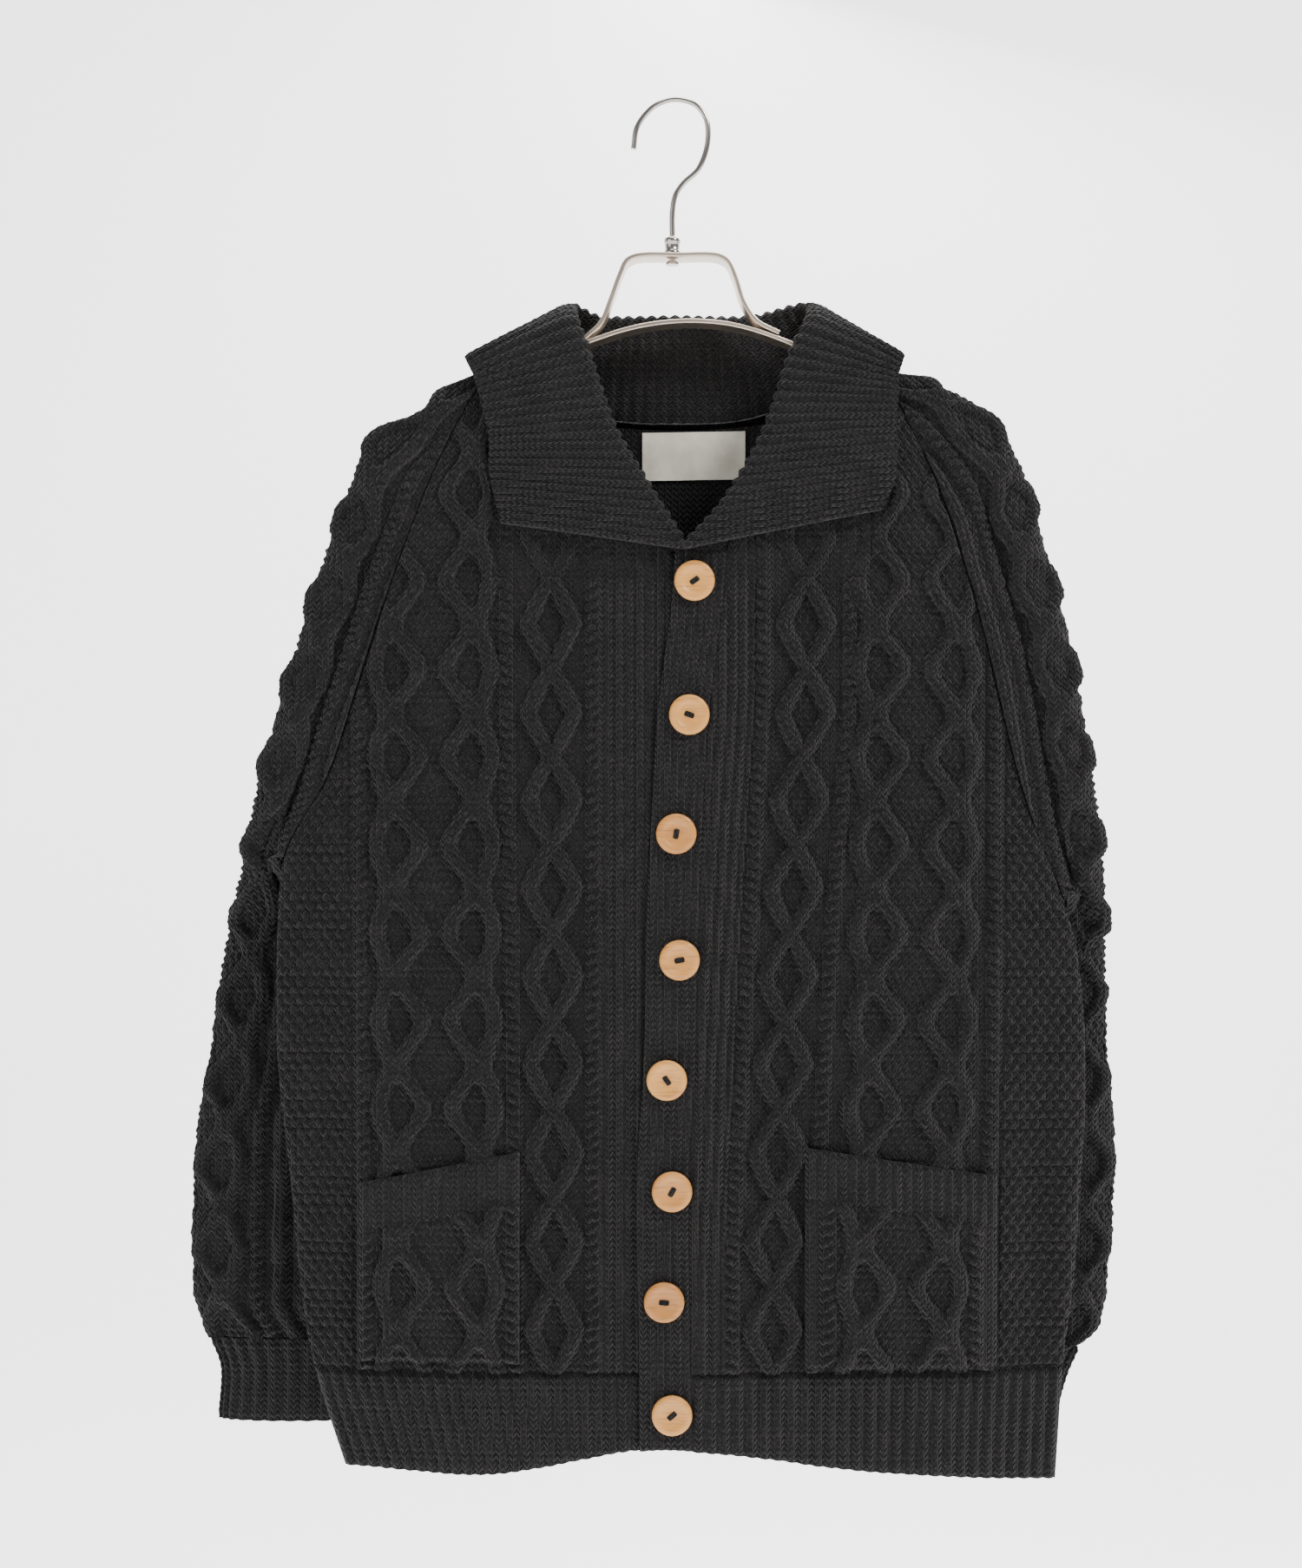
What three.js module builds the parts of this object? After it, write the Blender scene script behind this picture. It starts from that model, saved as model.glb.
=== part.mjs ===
// Shawl collar cardigan hanging on a metal hanger.
// Millimetres, +Z up. The origin is at the inside top of the hanger's hook, where a rail would touch it.
// The front faces -Y. Left and right are the wearer's, so left is +X.
// Every cloth piece is one wall: a grid of outer points that carries the cables and ribs in relief,
// a plainer grid of inner points, and a rim between the two.

import * as THREE from 'three';

// Cloth sizes
const CLOTH = 4;
const SEAM = 0.5;
const SLEEVE_SEAM = 1;
const CABLE_PERIOD = 59;
const CABLE_RISE = 3;
const RIB_RISE = 1.6;
const RIB_PITCH = 9;
const BAND_WIDTH = 35;
const BAND_LIFT = 5.6;
const BAND_RIB = 1.2;
const BAND_RIBS = 5;
const BAND_HIDDEN = 2;
const CUFF_RISE = 1.4;
const COLLAR_CLOTH = 3.6;
const COLLAR_FOLD = 9;
const COLLAR_SEAM = 1.1;
const POCKET_LIFT = 3.8;
const POCKET_RIB = 1.2;
const POCKET_CLOTH = 3;

// Button sizes
const BUTTON_RADIUS = 13.5;
const BUTTON_THICK = 4.2;
const BUTTON_DISH = 1.1;
const BUTTON_GAP = 0.4;
const BUTTON_SIDES = 14;

// Hanger sizes
const STRIP_DEPTH = 20;
const STRIP_THICK = 3;
const WIRE_RADIUS = 1.9;
const FERRULE_RADIUS = 5.6;

const YARN = { color: 0x2b2a2b, roughness: 0.95, metalness: 0 };
const WOOD = { color: 0xd9a45f, roughness: 0.5, metalness: 0 };
const METAL = { color: 0xb9a284, roughness: 0.3, metalness: 1 };
const WIRE = { color: 0x9a948c, roughness: 0.2, metalness: 1 };
const TAPE = { color: 0xd8d2c2, roughness: 0.9, metalness: 0 };

// Height of the body's two edges: the raglan seams down to the underarm, then the side seams
const RIGHT_EDGE = [
  { z: -182, x: -126 }, { z: -245, x: -160 }, { z: -316, x: -188 }, { z: -394, x: -214 },
  { z: -461, x: -237 }, { z: -510, x: -265 }, { z: -560, x: -271 }, { z: -645, x: -271.5 },
  { z: -737, x: -262 }, { z: -812, x: -254.5 }, { z: -864, x: -245 }, { z: -930, x: -224 },
];
const LEFT_EDGE = [
  { z: -182, x: 133 }, { z: -252, x: 170 }, { z: -342, x: 200 }, { z: -445, x: 226 },
  { z: -490, x: 240 }, { z: -533, x: 257.5 }, { z: -580, x: 271 }, { z: -666, x: 277 },
  { z: -741, x: 272.5 }, { z: -804, x: 268 }, { z: -850, x: 262 }, { z: -936, x: 256 },
];

// Neck edge of each front, from the shoulder down to the band
const RIGHT_NECK = [
  { z: -182, x: -125.9 }, { z: -202, x: -102 }, { z: -231, x: -77 }, { z: -260, x: -54 },
  { z: -289, x: -27 }, { z: -312, x: -5 }, { z: -347, x: -5 },
];
const LEFT_NECK = [
  { z: -182, x: 132.9 }, { z: -202, x: 108 }, { z: -231, x: 86 }, { z: -260, x: 64 },
  { z: -289, x: 42 }, { z: -312, x: 32 }, { z: -347, x: 30.5 },
];

// Free edge of the upper band, which laps over the lower one
const BAND_EDGE = [
  { z: -312, x: -2 }, { z: -347, x: -4.6 }, { z: -396, x: -11 }, { z: -429, x: -14.5 },
  { z: -563, x: -21 }, { z: -645, x: -22.6 }, { z: -726, x: -27 }, { z: -850, x: -26 }, { z: -936, x: -25.5 },
];

// Lowest line of the fronts and of the back
const FRONT_HEM = [
  { x: -225, z: -926 }, { x: -135, z: -928 }, { x: -25, z: -911 }, { x: 10, z: -911 },
  { x: 127, z: -926 }, { x: 256, z: -935 },
];
const BACK_HEM = [
  { x: -225, z: -926 }, { x: -80, z: -925 }, { x: 5, z: -920 }, { x: 64, z: -922 }, { x: 256, z: -935 },
];
const BACK_NECK = [
  { x: -124, z: -182 }, { x: -90, z: -198 }, { x: -54, z: -217 }, { x: 54, z: -217 },
  { x: 95, z: -198 }, { x: 131, z: -182 },
];
const TOP = -182;

// Depth of the body by height: outer front and back faces, at the middle and at the edges
const DEPTH = [
  { z: -182, front: -20, frontEdge: -17, back: 20, backEdge: 17 },
  { z: -250, front: -24, frontEdge: -20, back: 23, backEdge: 20 },
  { z: -340, front: -28, frontEdge: -21, back: 24, backEdge: 19 },
  { z: -440, front: -28, frontEdge: -16, back: 24, backEdge: 6 },
  { z: -500, front: -28, frontEdge: -11, back: 24, backEdge: -1.5 },
  { z: -540, front: -28, frontEdge: -10, back: 24, backEdge: -1.5 },
  { z: -940, front: -27, frontEdge: -10, back: 24, backEdge: -1.5 },
];

// Centre lines of the cable columns of each front
const RIGHT_LEAN = [{ z: -363, strip: -40, inner: -57, diamond: -85, outer: -116, wide: -165, far: -215 },
  { z: -785, strip: -40, inner: -57, diamond: -83, outer: -108, wide: -160, far: -211 }];
const LEFT_LEAN = [{ z: -406, strip: 37, inner: 57, diamond: 86, outer: 115, wide: 160, far: 214 },
  { z: -580, strip: 26, inner: 47, diamond: 74, outer: 102, wide: 158, far: 213 },
  { z: -783, strip: 17, inner: 36.5, diamond: 63.5, outer: 90.5, wide: 149.5, far: 207.5 }];

// Sleeve sections: the outer edge, the inner edge, the middle depth, half the depth, and whether it is closed
const RIGHT_SLEEVE = [
  { tx: -134, tz: -185, ix: -127, iz: -184, mid: 0, deep: 17, shut: 0 },
  { tx: -170, tz: -209, ix: -140, iz: -206, mid: 0, deep: 19, shut: 0 },
  { tx: -208, tz: -231, ix: -164, iz: -254, mid: 0, deep: 21, shut: 0 },
  { tx: -223, tz: -264, ix: -179, iz: -292, mid: 0, deep: 22, shut: 0 },
  { tx: -243, tz: -320, ix: -193, iz: -332, mid: 0, deep: 22, shut: 0 },
  { tx: -260, tz: -375, ix: -208, iz: -376, mid: 0, deep: 22, shut: 0 },
  { tx: -280, tz: -442, ix: -226, iz: -430, mid: 3, deep: 21, shut: 0 },
  { tx: -291, tz: -484, ix: -244, iz: -474, mid: 10, deep: 19, shut: 0 },
  { tx: -300, tz: -525, ix: -265, iz: -509, mid: 20, deep: 16, shut: 0 },
  { tx: -303, tz: -534, ix: -271.5, iz: -517, mid: 24, deep: 15, shut: 0.6, seam: -4 },
  { tx: -307, tz: -546, ix: -269, iz: -527, mid: 32, deep: 15, shut: 1, seam: 9 },
  { tx: -311, tz: -560, ix: -243, iz: -543, mid: 40, deep: 14, shut: 1, seam: 26 },
  { tx: -316, tz: -580, ix: -216, iz: -564, mid: 44, deep: 14, shut: 1, seam: 40 },
  { tx: -320, tz: -604, ix: -203, iz: -596, mid: 44, deep: 14, shut: 1, seam: 44 },
  { tx: -324, tz: -629, ix: -196, iz: -630, mid: 44, deep: 14, shut: 1, seam: 44 },
  { tx: -332, tz: -682, ix: -188, iz: -682, mid: 44, deep: 14, shut: 1, seam: 44 },
  { tx: -338, tz: -730, ix: -186, iz: -730, mid: 44, deep: 14, shut: 1, seam: 44 },
  { tx: -340, tz: -785, ix: -190, iz: -785, mid: 44, deep: 14, shut: 1, seam: 44 },
  { tx: -338, tz: -822, ix: -198, iz: -822, mid: 44, deep: 14, shut: 1, seam: 44 },
  { tx: -327, tz: -850, ix: -211, iz: -850, mid: 44, deep: 13, shut: 1, seam: 44 },
];
const LEFT_SLEEVE = [
  { tx: 141, tz: -184, ix: 134, iz: -184, mid: 0, deep: 17, shut: 0 },
  { tx: 190, tz: -200, ix: 150, iz: -211, mid: 0, deep: 19, shut: 0 },
  { tx: 214, tz: -218, ix: 167, iz: -245, mid: 0, deep: 21, shut: 0 },
  { tx: 233, tz: -248, ix: 180, iz: -279, mid: 0, deep: 22, shut: 0 },
  { tx: 245, tz: -287, ix: 190, iz: -310, mid: 0, deep: 22, shut: 0 },
  { tx: 267, tz: -368, ix: 206, iz: -366, mid: 0, deep: 22, shut: 0 },
  { tx: 281, tz: -446, ix: 223, iz: -434, mid: 3, deep: 21, shut: 0 },
  { tx: 290, tz: -500, ix: 240, iz: -489, mid: 10, deep: 19, shut: 0 },
  { tx: 295, tz: -545, ix: 257.5, iz: -532, mid: 20, deep: 16, shut: 0 },
  { tx: 296, tz: -556, ix: 265, iz: -541, mid: 24, deep: 15, shut: 0.6, seam: -4 },
  { tx: 297, tz: -568, ix: 267, iz: -551, mid: 32, deep: 15, shut: 1, seam: 9 },
  { tx: 299, tz: -582, ix: 246, iz: -567, mid: 40, deep: 14, shut: 1, seam: 26 },
  { tx: 300, tz: -602, ix: 218, iz: -589, mid: 44, deep: 14, shut: 1, seam: 40 },
  { tx: 301, tz: -630, ix: 194, iz: -624, mid: 44, deep: 14, shut: 1, seam: 44 },
  { tx: 303, tz: -661, ix: 182, iz: -661, mid: 44, deep: 14, shut: 1, seam: 44 },
  { tx: 307, tz: -727, ix: 165, iz: -727, mid: 44, deep: 14, shut: 1, seam: 44 },
  { tx: 306, tz: -767, ix: 162, iz: -767, mid: 44, deep: 14, shut: 1, seam: 44 },
  { tx: 303, tz: -804, ix: 163, iz: -804, mid: 44, deep: 14, shut: 1, seam: 44 },
  { tx: 297, tz: -836, ix: 167, iz: -836, mid: 44, deep: 14, shut: 1, seam: 44 },
  { tx: 282, tz: -858, ix: 172, iz: -858, mid: 44, deep: 13, shut: 1, seam: 44 },
];

// Collar stations from the right front's end round the neck to the left front's end:
// neck seam, roll, outer edge, and the side to which the fall lies (x, y)
const COLLAR = [
  { sx: -9, sz: -309, rx: 1, rz: -308, ex: -118, ez: -291, nx: 0, ny: -1 },
  { sx: -43, sz: -268, rx: -26, rz: -265, ex: -126, ez: -258, nx: 0, ny: -1 },
  { sx: -79, sz: -229, rx: -49, rz: -225, ex: -127, ez: -231, nx: 0, ny: -1 },
  { sx: -112, sz: -194, rx: -65, rz: -175, ex: -136, ez: -194, nx: -0.3, ny: -0.9 },
  { sx: -121, sz: -172, rx: -73, rz: -139, ex: -141, ez: -179, nx: -1, ny: 0.2 },
  { sx: -62, sz: -209, rx: -51, rz: -147, ex: -106, ez: -206, nx: -0.4, ny: 0.9 },
  { sx: 0, sz: -216, rx: 0, rz: -147, ex: 0, ez: -222, nx: 0, ny: 1 },
  { sx: 62, sz: -209, rx: 50, rz: -147, ex: 110, ez: -206, nx: 0.4, ny: 0.9 },
  { sx: 127, sz: -172, rx: 92, rz: -139, ex: 149, ez: -178, nx: 1, ny: 0.2 },
  { sx: 120, sz: -192, rx: 80, rz: -178, ex: 148, ez: -192, nx: 0.3, ny: -0.9 },
  { sx: 88, sz: -229, rx: 64, rz: -228, ex: 147, ez: -222, nx: 0, ny: -1 },
  { sx: 58, sz: -268, rx: 37, rz: -274, ex: 146, ez: -258, nx: 0, ny: -1 },
  { sx: 32, sz: -309, rx: 8, rz: -308, ex: 136, ez: -282, nx: 0, ny: -1 },
];

const BUTTONS = [
  { x: 11, z: -329.5 }, { x: 7.5, z: -418.8 }, { x: -1.2, z: -498.2 }, { x: 1, z: -582.3 },
  { x: -7.5, z: -662.4 }, { x: -4, z: -736.6 }, { x: -9.3, z: -810.3 }, { x: -4, z: -885.7 },
];
const POCKETS = {
  right: { x0: -214, x1: -106, z0: -733, z1: -711, bottom: -852 },
  left: { x0: 85, x1: 214.5, z0: -708, z1: -728, bottom: -856 },
};

// Rise of each column of a pocket below its ribbed top
const POCKET_CORDS = [0, 1.2, 0, 2.4, 0, 2.4, 0.6, 2.8, 0, 2.8, 0, 2.8, 0.6, 2.8, 0, 2.4, 0, 2.4, 0, 1.2, 0];

// Depths at the back of the neck, for the collar's seam, roll and edge
const NECK_DEPTH = { seam: 22, roll: 27, edge: 39 };
const LABEL_PLACE = { x0: -24, x1: 47, z0: -223, z1: -256 };
const LABEL_THICK = 1;
const LABEL_GAP = 0.4;
const FERRULE_PLACE = { x: -3.5, z: -104.2 };
const FERRULE_HEIGHT = 12.3;
const BACK_HALF_WIDTH = 276;
const MIDDLE = 3;
const ROW_STEP = CABLE_PERIOD / 2;
const FIRST_ROW = -210.3;
const PANEL_ROWS = 22;
const PANEL_END = FIRST_ROW - PANEL_ROWS * ROW_STEP;

function mix(a, b, share) {
  return a + (b - a) * share;
}

function ease(low, high, at) {
  const share = Math.min(1, Math.max(0, (at - low) / (high - low)));
  return share * share * (3 - 2 * share);
}

// Smooth curve through one named column of a table, read at a value of its key column
function along(table, key, at, column) {
  const last = table.length - 1;
  const sign = Math.sign(table[last][key] - table[0][key]);
  if (sign * (at - table[0][key]) <= 0) return table[0][column];
  if (sign * (at - table[last][key]) >= 0) return table[last][column];
  let k = 0;
  while (sign * (at - table[k + 1][key]) > 0) k += 1;
  const slope = (i) => {
    const before = table[Math.max(i - 1, 0)];
    const after = table[Math.min(i + 1, last)];
    return (after[column] - before[column]) / (after[key] - before[key]);
  };
  const span = table[k + 1][key] - table[k][key];
  const t = (at - table[k][key]) / span;
  const start = (2 * t ** 3 - 3 * t ** 2 + 1) * table[k][column];
  const end = (3 * t ** 2 - 2 * t ** 3) * table[k + 1][column];
  return start + end + (t ** 3 - 2 * t ** 2 + t) * span * slope(k) + (t ** 3 - t ** 2) * span * slope(k + 1);
}

// The same table read by row number, part rows included
function byRow(table, row, column) {
  const numbered = table.map((entry, number) => ({ number, value: entry[column] ?? 0 }));
  return along(numbered, 'number', row, 'value');
}

// How far out a point of the body lies, from 0 at the middle to 1 at its edge
function outward(x, z) {
  const edge = along(x < MIDDLE ? RIGHT_EDGE : LEFT_EDGE, 'z', z, 'x');
  return Math.min(1, Math.abs((x - MIDDLE) / (edge - MIDDLE)));
}

function frontFace(x, z) {
  const share = outward(x, z) ** 4;
  return mix(along(DEPTH, 'z', z, 'front'), along(DEPTH, 'z', z, 'frontEdge'), share);
}

function backFace(x, z) {
  const share = outward(x, z) ** 3;
  return mix(along(DEPTH, 'z', z, 'back'), along(DEPTH, 'z', z, 'backEdge'), share);
}

function bandEdge(z) {
  return along(BAND_EDGE, 'z', z, 'x');
}

// The left front steps forward onto the upper band that it carries
function lapLift(x, z) {
  return BAND_LIFT * (1 - ease(0, 60, x - bandEdge(z) - BAND_WIDTH));
}

function panelRows() {
  const rows = [TOP, TOP - 12];
  for (let k = 0; k <= PANEL_ROWS; k += 1) rows.push(FIRST_ROW - k * ROW_STEP);
  return rows;
}

function everyOf(count, step) {
  const kept = [];
  for (let i = 0; i < count; i += step) kept.push(i);
  kept.push(count);
  return kept;
}

// One closed wall: columns by rows of outer points, kept columns of inner points, and the rim
function wall(columns, rows, place, kept) {
  const points = [];
  const outer = (i, j) => j * (columns + 1) + i;
  const innerStart = (columns + 1) * (rows + 1);
  const inner = (k, j) => innerStart + j * kept.length + k;
  for (let j = 0; j <= rows; j += 1) {
    for (let i = 0; i <= columns; i += 1) points.push(place(i, j).outer);
  }
  for (let j = 0; j <= rows; j += 1) {
    for (const i of kept) points.push(place(i, j).inner);
  }
  const triangles = [];
  for (let j = 0; j < rows; j += 1) {
    for (let i = 0; i < columns; i += 1) {
      triangles.push([outer(i, j), outer(i, j + 1), outer(i + 1, j)]);
      triangles.push([outer(i + 1, j), outer(i, j + 1), outer(i + 1, j + 1)]);
    }
    for (let k = 0; k + 1 < kept.length; k += 1) {
      triangles.push([inner(k, j), inner(k + 1, j), inner(k, j + 1)]);
      triangles.push([inner(k + 1, j), inner(k + 1, j + 1), inner(k, j + 1)]);
    }
    const last = kept.length - 1;
    triangles.push([outer(0, j), inner(0, j), outer(0, j + 1)]);
    triangles.push([inner(0, j), inner(0, j + 1), outer(0, j + 1)]);
    triangles.push([outer(columns, j), outer(columns, j + 1), inner(last, j)]);
    triangles.push([inner(last, j), outer(columns, j + 1), inner(last, j + 1)]);
  }
  for (const [j, turned] of [[0, false], [rows, true]]) {
    for (let k = 0; k + 1 < kept.length; k += 1) {
      const half = Math.floor((kept[k] + kept[k + 1]) / 2);
      for (let i = kept[k]; i < kept[k + 1]; i += 1) {
        const corner = i < half ? inner(k, j) : inner(k + 1, j);
        triangles.push(turned ? [outer(i, j), corner, outer(i + 1, j)] : [outer(i, j), outer(i + 1, j), corner]);
      }
      const bridge = [outer(half, j), inner(k + 1, j), inner(k, j)];
      triangles.push(turned ? bridge.reverse() : bridge);
    }
  }
  return closedGeometry(points, triangles);
}

// Joins points that coincide, drops the faces that this flattens, and turns all faces outward
function closedGeometry(points, triangles) {
  const numbers = new Map();
  const kept = [];
  const merged = points.map((point) => {
    const name = point.map((value) => Math.round(value * 200)).join();
    if (!numbers.has(name)) {
      numbers.set(name, kept.length);
      kept.push(point);
    }
    return numbers.get(name);
  });
  const faces = [];
  let volume = 0;
  for (const corners of triangles) {
    const [a, b, c] = corners.map((corner) => merged[corner]);
    if (a === b || b === c || c === a) continue;
    faces.push([a, b, c]);
    const [pa, pb, pc] = [a, b, c].map((corner) => new THREE.Vector3(...kept[corner]));
    volume += pa.dot(pb.cross(pc));
  }
  const geometry = new THREE.BufferGeometry();
  geometry.setAttribute('position', new THREE.Float32BufferAttribute(kept.flat(), 3));
  geometry.setIndex(faces.flatMap((face) => (volume < 0 ? [face[0], face[2], face[1]] : face)));
  geometry.computeVertexNormals();
  return geometry;
}

// Phase of the cables at a height: 1 where the cords cross, -1 where they stand widest apart
function cordPhase(z) {
  return Math.cos((2 * Math.PI * (z - FIRST_ROW)) / CABLE_PERIOD);
}

// Columns of a front from its band outward: offset from a named lean line, and the rise at a phase
function frontColumns() {
  const columns = [];
  const add = (line, offset, rise) => columns.push({ line, offset, rise });
  for (const at of [-10.5, -3.5, 3.5, 10.5]) {
    add('strip', () => at - 3.5, () => 0);
    add('strip', () => at, () => RIB_RISE);
  }
  for (const rope of ['inner', 'outer', 'far']) {
    add(rope, () => -8, () => 0);
    add(rope, () => 0, () => CABLE_RISE * 0.8);
    add(rope, () => 8, () => 0);
    if (rope === 'inner') {
      add('diamond', (phase) => -9.5 + 6.5 * phase, () => CABLE_RISE);
      add('diamond', () => 0, (phase) => CABLE_RISE * 0.4 * (1 + phase));
      add('diamond', (phase) => 9.5 - 6.5 * phase, () => CABLE_RISE);
    }
    if (rope === 'outer') {
      const near = (phase) => 17.4 - 7 * phase;
      const wide = (phase) => 35 + 4.6 * phase;
      for (const side of [-1, 1]) {
        const cords = [
          [(phase) => side * wide(phase), () => CABLE_RISE],
          [(phase) => (side * (wide(phase) + near(phase))) / 2, (phase) => CABLE_RISE * 0.3 * (1 - phase)],
          [(phase) => side * near(phase), () => CABLE_RISE],
        ];
        if (side > 0) cords.reverse();
        for (const [offset, rise] of cords) add('wide', offset, rise);
        if (side < 0) add('wide', () => 0, () => 0);
      }
    }
  }
  for (const at of [18, 27, 36, 45, 54]) add('far', () => at, () => (at % 18 === 0 ? 1.4 : 0));
  return columns;
}

function frontEdges(side, z) {
  const neck = side === 'right' ? RIGHT_NECK : LEFT_NECK;
  const shift = side === 'right' ? BAND_HIDDEN : BAND_WIDTH + SEAM;
  const inner = z > BAND_EDGE[0].z - 4 ? along(neck, 'z', z, 'x') : bandEdge(z) + shift;
  return { inner, outer: along(side === 'right' ? RIGHT_EDGE : LEFT_EDGE, 'z', z, 'x') };
}

function frontDepth(side, x, z) {
  return frontFace(x, z) - (side === 'left' ? lapLift(x, z) : 0);
}

function frontPanel(side) {
  const lean = side === 'right' ? RIGHT_LEAN : LEFT_LEAN;
  const away = side === 'right' ? -1 : 1;
  const rows = panelRows();
  const columns = frontColumns();
  const place = (i, j) => {
    const z = rows[j];
    const phase = cordPhase(z);
    const edges = frontEdges(side, z);
    let x = edges.outer;
    let rise = 0;
    if (i === 0) x = edges.inner;
    else if (i <= columns.length) {
      const column = columns[i - 1];
      x = along(lean, 'z', z, column.line) + away * column.offset(phase);
      rise = column.rise(phase);
      if (away * (x - edges.inner) <= 1) x = edges.inner;
      if (away * (edges.outer - x) <= 1) x = edges.outer;
      if (x === edges.inner || x === edges.outer) rise = 0;
    }
    const y = frontDepth(side, x, z);
    return { outer: [x, y - rise, z], inner: [x, y + CLOTH, z] };
  };
  return wall(columns.length + 1, rows.length - 1, place, everyOf(columns.length + 1, 5));
}

// Ribbed strip below a panel, its ribs between the panel's own edges
function hem(edgesAt, bottomAt, faceAt, facing) {
  const top = PANEL_END - SEAM;
  const widest = edgesAt(top);
  const ribs = Math.round(Math.abs(widest.outer - widest.inner) / RIB_PITCH);
  const rowCount = 2;
  const place = (i, j) => {
    const guess = mix(widest.inner, widest.outer, i / (2 * ribs));
    const z = mix(top, bottomAt(guess), j / rowCount);
    const edges = edgesAt(z);
    const x = mix(edges.inner, edges.outer, i / (2 * ribs));
    const rise = i % 2 === 1 ? RIB_RISE : 0;
    const y = faceAt(x, z);
    return { outer: [x, y + facing * rise, z], inner: [x, y - facing * CLOTH, z] };
  };
  return wall(2 * ribs, rowCount, place, everyOf(2 * ribs, 6));
}

function backPanel() {
  const rows = PANEL_ROWS + 4;
  const half = 13;
  const place = (i, j) => {
    const spread = (i - half) / half;
    const nominal = MIDDLE + BACK_HALF_WIDTH * spread;
    const top = along(BACK_NECK, 'x', nominal, 'z');
    const z = mix(top, PANEL_END, j / rows);
    const low = along(RIGHT_EDGE, 'z', z, 'x');
    const high = along(LEFT_EDGE, 'z', z, 'x');
    const x = Math.min(high, Math.max(low, nominal));
    const inside = x > low && x < high;
    const rise = inside && i % 2 === 1 ? CABLE_RISE * 0.8 : 0;
    const y = backFace(x, z);
    return { outer: [x, y + rise, z], inner: [x, y - CLOTH, z] };
  };
  return wall(2 * half, rows, place, everyOf(2 * half, 4));
}

function band(isUpper) {
  const rows = 20;
  const left = isUpper ? 0 : BAND_HIDDEN + SEAM;
  const wide = BAND_WIDTH - (isUpper ? 0 : 2 * BAND_HIDDEN);
  const top = BAND_EDGE[0].z - 4.5;
  const place = (i, j) => {
    const share = i / (2 * BAND_RIBS);
    const bottom = along(FRONT_HEM, 'x', bandEdge(FRONT_HEM[0].z) + left + wide * share, 'z');
    const z = mix(top, bottom, j / rows);
    const x = bandEdge(z) + left + wide * share;
    const rise = isUpper && i % 2 === 1 ? BAND_RIB : 0;
    const y = frontFace(x, z) - (isUpper ? BAND_LIFT : 0);
    return { outer: [x, y - rise, z], inner: [x, y + CLOTH, z] };
  };
  return wall(2 * BAND_RIBS, rows, place, everyOf(2 * BAND_RIBS, 5));
}

// Patch pocket made from the points of the front under it, moved out, with a ribbed top
function pocket(side) {
  const size = POCKETS[side];
  const columns = POCKET_CORDS.length - 1;
  const rows = 7;
  const place = (i, j) => {
    const share = i / columns;
    const x = mix(size.x0, size.x1, share);
    const z = mix(mix(size.z0, size.z1, share), size.bottom, j / rows);
    const rise = j < 2 ? (i % 2) * POCKET_RIB : POCKET_CORDS[i] * (0.75 + 0.25 * (-1) ** j);
    const y = frontDepth(side, x, z) - POCKET_LIFT;
    return { outer: [x, y - POCKET_CLOTH - rise, z], inner: [x, y, z] };
  };
  return wall(columns, rows, place, everyOf(columns, 4));
}

// Outward direction of a surface at a point of its grid
function normalOf(surface, u, v) {
  const step = 0.02;
  const across = surface(u + step, v).sub(surface(u - step, v));
  const down = surface(u, v + step).sub(surface(u, v - step));
  return across.cross(down).normalize();
}

// Sleeve surface: around 0 at the front's seam, 0.5 at the outer edge and 1 at the back's seam
function sleeveSurface(side) {
  const table = side === 'right' ? RIGHT_SLEEVE : LEFT_SLEEVE;
  const edge = side === 'right' ? RIGHT_EDGE : LEFT_EDGE;
  const away = side === 'right' ? -1 : 1;
  return (around, row) => {
    const value = (column) => byRow(table, row, column);
    const shut = Math.min(1, Math.max(0, value('shut')));
    const half = Math.min(1, Math.abs(1 - 2 * around));
    const out = 0.5 + 0.5 * Math.cos(Math.PI * half);
    const back = around > 0.5;
    const iz = value('iz');
    const raglan = along(edge, 'z', iz, 'x') + away * SLEEVE_SEAM;
    const ix = shut > 0 ? mix(raglan, value('ix'), Math.min(1, shut * 2)) : raglan;
    const seamDepth = back ? backFace(raglan, iz) : frontFace(raglan, iz);
    const closedDepth = value('seam') + (back ? SEAM : -SEAM) / 2;
    const turn = ease(0, 0.45, out);
    const openForm = Math.sqrt(Math.max(0, 1 - out ** 4));
    const shutForm = Math.sqrt(Math.max(0, 1 - Math.abs(2 * out - 1) ** 3));
    const bulge = mix(openForm, mix(openForm, shutForm, shut), turn < 1 ? 1 : shut);
    const seam = mix(seamDepth, closedDepth, shut);
    const body = value('mid') + (back ? 1 : -1) * value('deep') * bulge;
    const y = mix(seam, body, shut > 0.5 ? ease(0, 0.12, out) : turn);
    return new THREE.Vector3(mix(ix, value('tx'), out), y, mix(iz, value('tz'), out));
  };
}

function sleeve(side) {
  const surface = sleeveSurface(side);
  const sections = (side === 'right' ? RIGHT_SLEEVE : LEFT_SLEEVE).length - 1;
  const columns = 20;
  const away = side === 'right' ? 1 : -1;
  const place = (i, j) => {
    const around = i / columns;
    const point = surface(around, j);
    const normal = normalOf(surface, Math.min(0.98, Math.max(0.02, around)), Math.min(sections - 0.02,
      Math.max(0.02, j))).multiplyScalar(away);
    const rise = i % 2 === 1 && j > 0 ? CABLE_RISE * 0.7 : 0;
    const outer = point.clone().addScaledVector(normal, rise);
    const inner = point.clone().addScaledVector(normal, -CLOTH);
    return { outer: outer.toArray(), inner: inner.toArray() };
  };
  return wall(columns, sections, place, everyOf(columns, 2));
}

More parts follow.
